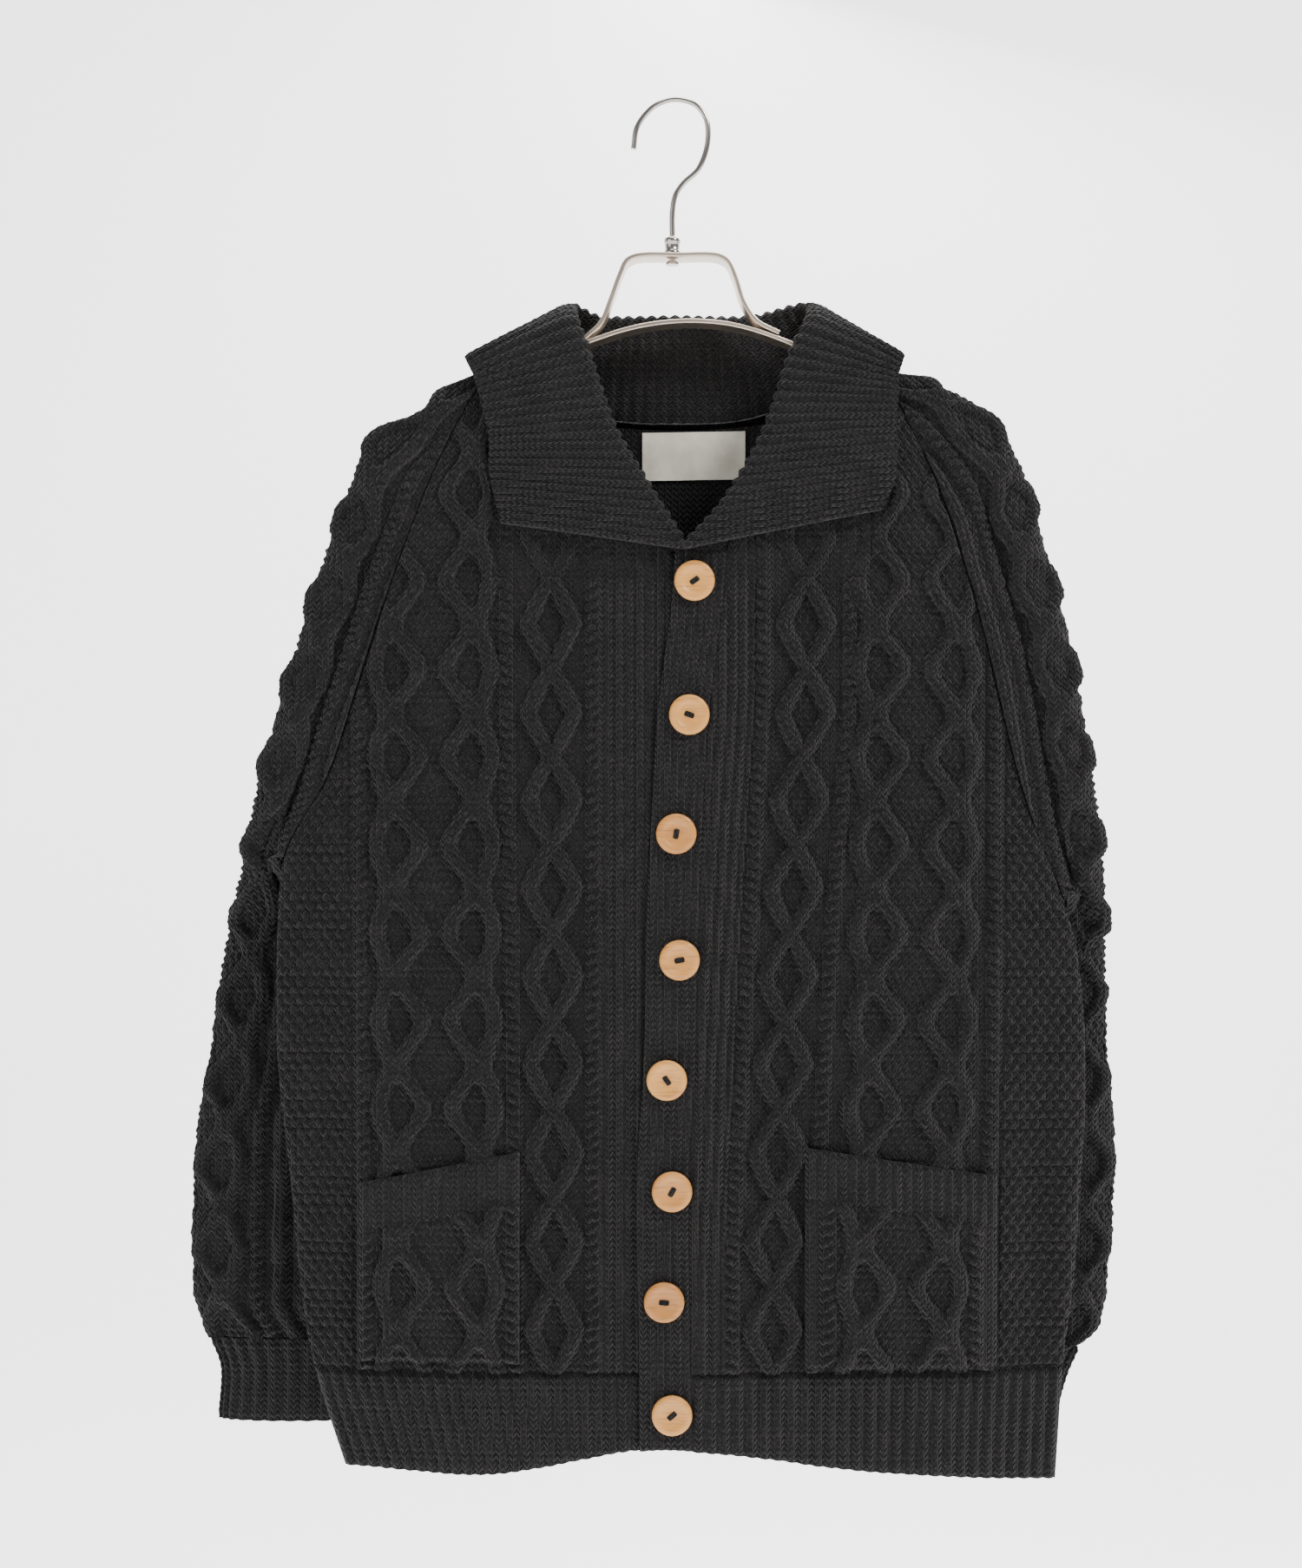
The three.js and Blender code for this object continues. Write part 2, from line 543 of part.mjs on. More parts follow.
// Cuff sections: outer edge, inner edge, height and half the depth
const CUFFS = {
  right: [{ row: 0, tx: -326, ix: -212, z: -851.2, deep: 12.5 }, { row: 1, tx: -318, ix: -217, z: -874, deep: 11 },
    { row: 2, tx: -320, ix: -219, z: -909, deep: 10.5 }],
  left: [{ row: 0, tx: 281, ix: 172.5, z: -859.2, deep: 12.5 }, { row: 1, tx: 272, ix: 170, z: -880, deep: 11 },
    { row: 2, tx: 262, ix: 163, z: -916, deep: 10.5 }],
};
const CUFF_MIDDLE = 44;

function cuff(side) {
  const table = CUFFS[side];
  const ribs = 26;
  const rows = 2;
  const place = (i, j) => {
    const read = (column) => along(table, 'row', j, column);
    const angle = 2 * Math.PI * (i / (2 * ribs));
    const ring = (grow) => {
      const half = (read('tx') - read('ix')) / 2;
      const reach = half + Math.sign(half) * grow;
      const x = read('ix') + half - reach * Math.cos(angle);
      const slit = i === 0 ? -SEAM / 2 : i === 2 * ribs ? SEAM / 2 : 0;
      return [x, CUFF_MIDDLE - (read('deep') + grow) * Math.sin(angle) + slit, read('z')];
    };
    return { outer: ring(i % 2 === 1 ? CUFF_RISE : 0), inner: ring(-CLOTH) };
  };
  return wall(2 * ribs, rows, place, everyOf(2 * ribs, 4));
}

// Neck seam of the collar: the fronts' neck edges, the shoulders, and the back's neck edge
function collarSeam(station, x, z) {
  const last = COLLAR.length - 1;
  if (station <= 3) return [along(RIGHT_NECK, 'z', z, 'x') + COLLAR_SEAM, z];
  if (station >= last - 3) return [along(LEFT_NECK, 'z', z, 'x') - COLLAR_SEAM, z];
  if (station < 4) return [Math.max(x, along(RIGHT_NECK, 'z', z, 'x') + COLLAR_SEAM), z];
  if (station > last - 4) return [Math.min(x, along(LEFT_NECK, 'z', z, 'x') - COLLAR_SEAM), z];
  return [x, Math.max(z, along(BACK_NECK, 'x', x, 'z') + COLLAR_SEAM)];
}

// Middle surface of the collar: along its length by station, and from seam over the roll to its edge
function collarSurface(station, share) {
  const read = (column) => byRow(COLLAR, station, column);
  const last = COLLAR.length - 1;
  const turnBack = (start, end) => ease(start, end, station) * (1 - ease(last - end, last - start, station));
  const toBack = turnBack(3.4, 4.45);
  const fallBack = turnBack(3.55, 4.6);
  const frontDepthAt = (x, z) => (x < MIDDLE ? frontFace(x, z) : frontDepth('left', x, z));
  const standDepth = (x, z) => mix(frontDepthAt(x, z) + CLOTH / 2, NECK_DEPTH.seam, toBack);
  const fallDepth = (x, z) => mix(frontDepthAt(x, z) + CLOTH / 2 - COLLAR_FOLD - SEAM, NECK_DEPTH.edge, fallBack);
  const [seamX, seamZ] = collarSeam(station, read('sx'), read('sz'));
  const seam = new THREE.Vector3(seamX, standDepth(seamX, seamZ), seamZ);
  const roll = new THREE.Vector3(read('rx'), mix(standDepth(read('rx'), read('rz')), NECK_DEPTH.roll, toBack), read('rz'));
  const edge = new THREE.Vector3(read('ex'), fallDepth(read('ex'), read('ez')), read('ez'));
  const fold = new THREE.Vector3(read('nx'), read('ny'), 0).normalize().multiplyScalar(COLLAR_FOLD);
  const rollEnd = roll.clone().add(fold);
  const crown = roll.clone().sub(seam).normalize().multiplyScalar(COLLAR_FOLD / 2);
  if (share <= 0.4) return seam.lerp(roll, share / 0.4);
  if (share >= 0.6) return rollEnd.lerp(edge, (share - 0.6) / 0.4);
  const turn = ((share - 0.4) / 0.2) * Math.PI;
  const middle = roll.clone().addScaledVector(fold, (1 - Math.cos(turn)) / 2);
  return middle.addScaledVector(crown, Math.sin(turn));
}

function collar() {
  const perStation = 9;
  const columns = (COLLAR.length - 1) * perStation;
  const shares = [0, 0.2, 0.4, 0.5, 0.6, 0.8, 1];
  const place = (i, j) => {
    const station = i / perStation;
    const clear = Math.min(COLLAR.length - 1.03, Math.max(0.03, station));
    const share = Math.min(0.97, Math.max(0.03, shares[j]));
    const point = collarSurface(station, shares[j]);
    const normal = normalOf(collarSurface, clear, share);
    const rise = i % 2 === 1 ? RIB_RISE : 0;
    const outer = point.clone().addScaledVector(normal, COLLAR_CLOTH / 2 + rise);
    const inner = point.clone().addScaledVector(normal, -COLLAR_CLOTH / 2);
    return { outer: outer.toArray(), inner: inner.toArray() };
  };
  return wall(columns, shares.length - 1, place, everyOf(columns, 3));
}

function label() {
  const size = LABEL_PLACE;
  const place = (i, j) => {
    const x = mix(size.x0, size.x1, i / 2);
    const z = mix(size.z0, size.z1, j);
    const y = backFace(x, z) - CLOTH - LABEL_GAP;
    return { outer: [x, y - LABEL_THICK, z], inner: [x, y, z] };
  };
  return wall(2, 1, place, [0, 2]);
}

function button() {
  const r = BUTTON_RADIUS;
  const outline = [[0, 0], [r - 1, 0], [r, 1], [r, BUTTON_THICK - 1], [r - 1.5, BUTTON_THICK],
    [r - 3.5, BUTTON_THICK - 0.2], [r - 5.5, BUTTON_THICK - BUTTON_DISH], [0, BUTTON_THICK - BUTTON_DISH - 0.4]];
  return new THREE.LatheGeometry(outline.map(([x, y]) => new THREE.Vector2(x, y)), BUTTON_SIDES);
}

// A flat metal strip of even thickness that follows a smooth line in the hanger's plane
function strip(line, steps) {
  const curve = new THREE.CatmullRomCurve3(line.map(([x, z]) => new THREE.Vector3(x, z, 0)));
  const middle = curve.getSpacedPoints(steps);
  const side = (sign) => middle.map((point, i) => {
    const next = middle[Math.min(i + 1, steps)].clone().sub(middle[Math.max(i - 1, 0)]).normalize();
    return new THREE.Vector2(point.x - next.y * sign * STRIP_THICK / 2, point.y + next.x * sign * STRIP_THICK / 2);
  });
  const outline = new THREE.Shape([...side(1), ...side(-1).reverse()]);
  const geometry = new THREE.ExtrudeGeometry(outline, { depth: STRIP_DEPTH, bevelEnabled: false });
  geometry.rotateX(Math.PI / 2);
  geometry.translate(0, STRIP_DEPTH / 2, 0);
  return geometry;
}

const BAR_LINE = [[-200, -244], [-170, -223], [-134, -199], [-100, -181], [-67, -167.5], [-30, -155.5], [5, -151],
  [40, -154], [79, -167], [134, -193], [175, -211.5], [206, -229]];
const HANDLE_LINE = [[-63, -162.5], [-52, -152], [-46, -138], [-39, -119], [-34, -109.5], [-24, -106], [0, -106],
  [25, -106], [34, -110], [39, -120], [45, -138], [54, -151], [69, -159]];
const HOOK_LINE = [[-30, -31.9], [-27.5, -17], [-18, -4.5], [-8, 0.9], [1, 1.9], [12, -1.5], [19, -10], [21, -20],
  [19.5, -33], [14, -46], [4, -55.5], [-1.5, -64], [-3.5, -76], [-3.5, -91.4]];

function hook() {
  const path = new THREE.CatmullRomCurve3(HOOK_LINE.map(([x, z]) => new THREE.Vector3(x, 0, z)));
  const section = new THREE.Shape();
  section.absarc(0, 0, WIRE_RADIUS, 0, 2 * Math.PI);
  return new THREE.ExtrudeGeometry(section, { steps: 30, curveSegments: 4, extrudePath: path, bevelEnabled: false });
}

function ferrule() {
  const r = FERRULE_RADIUS;
  const top = FERRULE_HEIGHT;
  const outline = [[0, 0], [r, 0], [r, top - 1.3], [r - 1.4, top], [0, top]];
  const geometry = new THREE.LatheGeometry(outline.map(([x, y]) => new THREE.Vector2(x, y)), 16);
  geometry.rotateX(Math.PI / 2);
  return geometry;
}

const cardigan = new THREE.Group();

function add(name, geometry, finish) {
  const material = new THREE.MeshStandardMaterial(finish);
  const mesh = new THREE.Mesh(geometry, material);
  mesh.name = name;
  cardigan.add(mesh);
  return mesh;
}

add('back', backPanel(), YARN);
for (const side of ['right', 'left']) {
  const panelFace = (x, z) => frontDepth(side, x, z);
  const bottomAt = (x) => along(FRONT_HEM, 'x', x, 'z');
  add(`front_${side}`, frontPanel(side), YARN);
  add(`hem_${side}`, hem((z) => frontEdges(side, z), bottomAt, panelFace, -1), YARN);
  add(`sleeve_${side}`, sleeve(side), YARN);
  add(`cuff_${side}`, cuff(side), YARN);
  add(`pocket_${side}`, pocket(side), YARN);
}
const backEdges = (z) => ({ inner: along(RIGHT_EDGE, 'z', z, 'x'), outer: along(LEFT_EDGE, 'z', z, 'x') });
add('hem_back', hem(backEdges, (x) => along(BACK_HEM, 'x', x, 'z'), backFace, 1), YARN);
add('band_left', band(true), YARN);
add('band_right', band(false), YARN);
add('collar', collar(), YARN);
add('label', label(), TAPE);
BUTTONS.forEach(({ x, z }, number) => {
  const piece = add(`button_${number + 1}`, button(), WOOD);
  piece.rotation.x = Math.PI;
  piece.position.set(x, frontFace(x, z) - BAND_LIFT - BAND_RIB - BUTTON_GAP, z);
});
add('hanger_bar', strip(BAR_LINE, 40), METAL);
add('hanger_handle', strip(HANDLE_LINE, 30), METAL);
add('hanger_hook', hook(), WIRE);
add('hanger_ferrule', ferrule(), WIRE).position.set(FERRULE_PLACE.x, 0, FERRULE_PLACE.z);

export default cardigan;
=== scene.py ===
"""Shawl collar cardigan on a metal hanger: its knit, buttons and hanger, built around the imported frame."""

from __future__ import annotations

import logging
import math
from dataclasses import dataclass
from enum import Enum
from functools import partial, reduce
from typing import Callable, Sequence

import bpy
import numpy as np
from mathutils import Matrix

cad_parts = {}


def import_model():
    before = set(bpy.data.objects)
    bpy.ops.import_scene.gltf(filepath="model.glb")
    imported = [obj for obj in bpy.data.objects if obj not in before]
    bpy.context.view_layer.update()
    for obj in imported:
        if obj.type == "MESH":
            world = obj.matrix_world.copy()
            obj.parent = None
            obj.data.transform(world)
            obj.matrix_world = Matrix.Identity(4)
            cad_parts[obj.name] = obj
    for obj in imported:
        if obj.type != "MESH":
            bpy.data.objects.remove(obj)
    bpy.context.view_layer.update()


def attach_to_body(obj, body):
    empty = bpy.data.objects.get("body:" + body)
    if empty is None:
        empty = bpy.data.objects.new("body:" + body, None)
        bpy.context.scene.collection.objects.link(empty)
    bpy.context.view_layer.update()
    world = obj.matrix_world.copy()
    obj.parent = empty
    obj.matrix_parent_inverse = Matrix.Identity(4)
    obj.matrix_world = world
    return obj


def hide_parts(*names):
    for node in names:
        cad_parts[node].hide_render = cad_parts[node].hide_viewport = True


LOG = logging.getLogger("cardigan")
MM = 0.001

Grid = np.ndarray
Height = Callable[[Grid, Grid], Grid]


class Side(Enum):
    """The wearer's sides; the value is the sign of X."""

    RIGHT = -1
    LEFT = 1

    @property
    def tag(self) -> str:
        """Return the side's name as the pieces bear it."""
        return self.name.lower()


# Cloth sizes in millimetres
CLOTH = 4.0
SEAM = 0.5
SLEEVE_SEAM = 1.0
COLLAR_SEAM = 1.1
BAND_WIDTH = 35.0
BAND_LIFT = 5.6
BAND_RIBS = 6
HEM_ROWS = 40
HEM_RIB_PITCH = 9.0
CUFF_RIBS = 26
COLLAR_CLOTH = 3.6
COLLAR_FOLD = 9.0
COLLAR_RIB_PITCH = 8.0
POCKET_LIFT = 3.9
POCKET_CLOTH = 3.0
POCKET_RIB_PITCH = 7.2

# Z of the body's top, X of its middle, and rough widths that set how many points a panel gets
TOP = -182.0
MIDDLE = 3.0
FRONT_WIDE = 262
BACK_WIDE = 550

# Depths of the collar's seam, roll and outer edge at the back of the neck
NECK_SEAM = 22.0
NECK_ROLL = 27.0
NECK_EDGE = 39.0

# Sizes of the knitted patterns; each rise but the cables' is a share of the cables'
CABLE_PERIOD = 59.0
CABLE_RISE = 6.8
CORD_HALF = 5.4
LATTICE_HALF = 45.0
DIAMOND_HALF = 21.0
ROPE_HALF = 5.2
ROPE_PITCH = 7.2
ROPE_RISE = 0.66
MOSS_WIDE = 7.8
MOSS_TALL = 6.4
MOSS_RISE = 0.5
STRIP_PITCH = 7.0
STRIP_HALF = 14.0
STRIP_RISE = 0.42
STITCH_WIDE = 4.7
STITCH_TALL = 5.6
FIRST_ROW = -210.3
PANEL_END = FIRST_ROW - 22 * CABLE_PERIOD / 2

# Share of a front's relief that is left under a pocket and the collar, and where the collar lies
PRESSED = 0.5
COLLAR_LOW = -328.0
COLLAR_HALF = 128.0

BUTTON_RADIUS = 13.5
BUTTON_THICK = 4.2


class Curve:
    """A smooth curve through the rows of a short table, read by its first column."""

    def __init__(self, *rows: Sequence[float]) -> None:
        """Store the rows in rising order of the first column.

        Args:
            rows: Each row holds the key and then its values.
        """
        table = np.array(sorted(rows), dtype=float)
        self.keys = table[:, 0]
        self.values = table[:, 1:]
        slopes = np.empty_like(self.values)
        slopes[1:-1] = (self.values[2:] - self.values[:-2]) / (self.keys[2:] - self.keys[:-2])[:, None]
        slopes[0] = (self.values[1] - self.values[0]) / (self.keys[1] - self.keys[0])
        slopes[-1] = (self.values[-1] - self.values[-2]) / (self.keys[-1] - self.keys[-2])
        self.slopes = slopes

    def at(self, key: Grid, column: int = 0) -> Grid:
        """Read one column.

        Args:
            key: Where to read, clamped to the table's ends.
            column: Which value column.

        Returns:
            The values, shaped as key.
        """
        key = np.clip(np.asarray(key, dtype=float), self.keys[0], self.keys[-1])
        k = np.clip(np.searchsorted(self.keys, key) - 1, 0, len(self.keys) - 2)
        span = self.keys[k + 1] - self.keys[k]
        t = (key - self.keys[k]) / span
        start = (2 * t**3 - 3 * t**2 + 1) * self.values[k, column]
        end = (3 * t**2 - 2 * t**3) * self.values[k + 1, column]
        bend = (t**3 - 2 * t**2 + t) * self.slopes[k, column] + (t**3 - t**2) * self.slopes[k + 1, column]
        return start + end + span * bend


# Outline of the body: z, x
EDGE = {
    Side.RIGHT: Curve((-182, -126), (-245, -160), (-316, -188), (-394, -214), (-461, -237), (-510, -265),
                      (-560, -271), (-645, -271.5), (-737, -262), (-812, -254.5), (-864, -245), (-930, -224)),
    Side.LEFT: Curve((-182, 133), (-252, 170), (-342, 200), (-445, 226), (-490, 240), (-533, 257.5),
                     (-580, 271), (-666, 277), (-741, 272.5), (-804, 268), (-850, 262), (-936, 256)),
}
NECK = {
    Side.RIGHT: Curve((-182, -125.9), (-202, -102), (-231, -77), (-260, -54), (-289, -27), (-312, -5), (-347, -5)),
    Side.LEFT: Curve((-182, 132.9), (-202, 108), (-231, 86), (-260, 64), (-289, 42), (-312, 32), (-347, 30.5)),
}
BAND_EDGE = Curve((-312, -2), (-347, -4.6), (-396, -11), (-429, -14.5), (-563, -21), (-645, -22.6),
                  (-726, -27), (-850, -26), (-936, -25.5))
BAND_TOP = -316.5

# Lowest lines and the back's neck line: x, z
FRONT_HEM = Curve((-225, -926), (-135, -928), (-25, -911), (10, -911), (127, -926), (256, -935))
BACK_HEM = Curve((-225, -926), (-80, -925), (5, -920), (64, -922), (256, -935))
BACK_NECK = Curve((-124, -182), (-90, -198), (-54, -217), (54, -217), (95, -198), (131, -182))

# Depth of the body: z, front, front at the edge, back, back at the edge
DEPTH = Curve((-182, -20, -17, 20, 17), (-250, -24, -20, 23, 20), (-340, -28, -21, 24, 19),
              (-440, -28, -16, 24, 6), (-500, -28, -11, 24, -1.5), (-540, -28, -10, 24, -1.5),
              (-940, -27, -10, 24, -1.5))

# Centre lines of the cable columns: z, rib strip, inner rope, diamonds, outer rope, wide panel, far rope
LEAN = {
    Side.RIGHT: Curve((-363, -40, -57, -85, -116, -165, -215), (-785, -40, -57, -83, -108, -160, -211)),
    Side.LEFT: Curve((-406, 37, 57, 86, 115, 160, 214), (-580, 26, 47, 74, 102, 158, 213),
                     (-783, 17, 36.5, 63.5, 90.5, 149.5, 207.5)),
}

# Outlines of the sleeves: row, outer x, outer z, inner x, inner z
SLEEVE = {
    Side.RIGHT: Curve(
        (0, -134, -185, -127, -184), (1, -170, -209, -140, -206), (2, -208, -231, -164, -254),
        (3, -223, -264, -179, -292), (4, -243, -320, -193, -332), (5, -260, -375, -208, -376),
        (6, -280, -442, -226, -430), (7, -291, -484, -244, -474), (8, -300, -525, -265, -509),
        (9, -303, -534, -271.5, -517), (10, -307, -546, -269, -527), (11, -311, -560, -243, -543),
        (12, -316, -580, -216, -564), (13, -320, -604, -203, -596), (14, -324, -629, -196, -630),
        (15, -332, -682, -188, -682), (16, -338, -730, -186, -730), (17, -340, -785, -190, -785),
        (18, -338, -822, -198, -822), (19, -327, -850, -211, -850)),
    Side.LEFT: Curve(
        (0, 141, -184, 134, -184), (1, 190, -200, 150, -211), (2, 214, -218, 167, -245),
        (3, 233, -248, 180, -279), (4, 245, -287, 190, -310), (5, 267, -368, 206, -366),
        (6, 281, -446, 223, -434), (7, 290, -500, 240, -489), (8, 295, -545, 257.5, -532),
        (9, 296, -556, 265, -541), (10, 297, -568, 267, -551), (11, 299, -582, 246, -567),
        (12, 300, -602, 218, -589), (13, 301, -630, 194, -624), (14, 303, -661, 182, -661),
        (15, 307, -727, 165, -727), (16, 306, -767, 162, -767), (17, 303, -804, 163, -804),
        (18, 297, -836, 167, -836), (19, 282, -858, 172, -858)),
}

# Depths of both sleeves: row, middle, half, shut, seam
SLEEVE_DEPTH = Curve(
    (0, 0, 17, 0, 0), (1, 0, 19, 0, 0), (2, 0, 21, 0, 0), (3, 0, 22, 0, 0), (4, 0, 22, 0, 0),
    (5, 0, 22, 0, 0), (6, 3, 21, 0, 0), (7, 10, 19, 0, 0), (8, 20, 16, 0, 0), (9, 24, 15, 0.6, -4),
    (10, 32, 15, 1, 9), (11, 40, 14, 1, 26), (12, 44, 14, 1, 40), (13, 44, 14, 1, 44), (14, 44, 14, 1, 44),
    (15, 44, 14, 1, 44), (16, 44, 14, 1, 44), (17, 44, 14, 1, 44), (18, 44, 14, 1, 44), (19, 44, 13, 1, 44))

# Cuff sections: row, outer x, inner x, z, half depth
CUFFS = {
    Side.RIGHT: Curve((0, -326, -212, -851.2, 12.5), (1, -318, -217, -874, 11), (2, -320, -219, -909, 10.5)),
    Side.LEFT: Curve((0, 281, 172.5, -859.2, 12.5), (1, 272, 170, -880, 11), (2, 262, 163, -916, 10.5)),
}
CUFF_MIDDLE = 44.0

# Collar stations: row, seam x, seam z, roll x, roll z, edge x, edge z, fall direction x, y
COLLAR = Curve(
    (0, -9, -309, 1, -308, -118, -291, 0, -1), (1, -43, -268, -26, -265, -126, -258, 0, -1),
    (2, -79, -229, -49, -225, -127, -231, 0, -1), (3, -112, -194, -65, -175, -136, -194, -0.3, -0.9),
    (4, -121, -172, -73, -139, -141, -179, -1, 0.2), (5, -62, -209, -51, -147, -106, -206, -0.4, 0.9),
    (6, 0, -216, 0, -147, 0, -222, 0, 1), (7, 62, -209, 50, -147, 110, -206, 0.4, 0.9),
    (8, 127, -172, 92, -139, 149, -178, 1, 0.2), (9, 120, -192, 80, -178, 148, -192, 0.3, -0.9),
    (10, 88, -229, 64, -228, 147, -222, 0, -1), (11, 58, -268, 37, -274, 146, -258, 0, -1),
    (12, 32, -309, 8, -308, 136, -282, 0, -1))
COLLAR_ROWS = 12

BUTTONS = ((11, -329.5), (7.5, -418.8), (-1.2, -498.2), (1, -582.3),
           (-7.5, -662.4), (-4, -736.6), (-9.3, -810.3), (-4, -885.7))
BUTTON_TURNS = (35, -20, 80, 10, -55, 60, -5, 40)

# Pockets: inner and outer x, top z at each, bottom z
POCKETS = {Side.RIGHT: (-214.0, -106.0, -733.0, -711.0, -852.0), Side.LEFT: (85.0, 214.5, -708.0, -728.0, -856.0)}

# Soft creases of the fronts and the back: x, z, half width, half height, depth, slant
CREASES = (
    (238, -800, 16, 90, 4.0, 0.05), (262, -760, 10, 110, -2.0, 0.0), (200, -560, 14, 80, 2.6, 0.25),
    (-235, -640, 15, 110, 3.0, -0.08), (-190, -800, 18, 70, 2.4, 0.1), (-130, -420, 26, 60, 1.8, 0.35),
    (60, -700, 20, 70, 1.6, -0.15), (130, -430, 24, 60, 2.0, -0.4), (-60, -560, 22, 60, 1.3, 0.1),
    (150, -880, 16, 60, 2.2, 0.0), (-170, -900, 14, 50, 2.0, 0.0),
)


def ease(low: float, high: float, at: Grid) -> Grid:
    """Return a smooth step from 0 at low to 1 at high."""
    share = np.clip((np.asarray(at, dtype=float) - low) / (high - low), 0, 1)
    return share * share * (3 - 2 * share)


def mix(a: Grid, b: Grid, share: Grid) -> Grid:
    """Return the blend of a and b."""
    return a + (b - a) * share


def dome(offset: Grid, half: float) -> Grid:
    """Return the round section of a cord, 1 on its centre line and 0 at its half width."""
    return np.sqrt(np.clip(1 - (offset / half) ** 2, 0, 1))


def smooth_rows(count: int, start: float, end: float) -> Grid:
    """Return evenly spaced values as one column."""
    return np.linspace(start, end, count)[:, None]


def shares(count: int) -> Grid:
    """Return evenly spaced values from 0 to 1 as one row."""
    return np.linspace(0, 1, count)[None, :]


def faded(share: Grid, width: float) -> Grid:
    """Return 1, falling to 0 within a width of both ends of a share."""
    return ease(0, width, share) * ease(0, width, 1 - share)


def steps(points: Grid, axis: int) -> Grid:
    """Return the distances between neighbouring points along one axis."""
    return np.linalg.norm(np.diff(points, axis=axis), axis=-1)


def walked(points: Grid) -> Grid:
    """Return how far along a line each of its points lies."""
    return np.concatenate([[0], np.cumsum(steps(points, 0))])


def crease(x: Grid, z: Grid) -> Grid:
    """Return how far the listed creases push the cloth in, in millimetres."""
    total = np.zeros(np.broadcast(x, z).shape)
    for cx, cz, half_wide, half_high, depth, slant in CREASES:
        across = (x - cx - slant * (z - cz)) / half_wide
        total = total + depth * np.exp(-(across**2) - ((z - cz) / half_high) ** 2)
    return total


def outward(x: Grid, z: Grid) -> Grid:
    """Return how far out a point of the body lies, from 0 at the middle to 1 at its edge."""
    edge = np.where(np.asarray(x) < MIDDLE, EDGE[Side.RIGHT].at(z), EDGE[Side.LEFT].at(z))
    return np.clip(np.abs((x - MIDDLE) / (edge - MIDDLE)), 0, 1)


def front_face(x: Grid, z: Grid) -> Grid:
    """Return the outer depth of the fronts."""
    return mix(DEPTH.at(z, 0), DEPTH.at(z, 1), outward(x, z) ** 4) + crease(x, z)


def back_face(x: Grid, z: Grid) -> Grid:
    """Return the outer depth of the back, with its creases mirrored from the fronts'."""
    return mix(DEPTH.at(z, 2), DEPTH.at(z, 3), outward(x, z) ** 3) - 0.8 * crease(-x, z + 40)


def lap_lift(x: Grid, z: Grid) -> Grid:
    """Return how far the left front steps forward onto the upper band."""
    return BAND_LIFT * (1 - ease(0, 60, x - BAND_EDGE.at(z) - BAND_WIDTH))


def front_depth(side: Side, x: Grid, z: Grid) -> Grid:
    """Return the outer depth of one front."""
    return front_face(x, z) - (lap_lift(x, z) if side is Side.LEFT else 0)


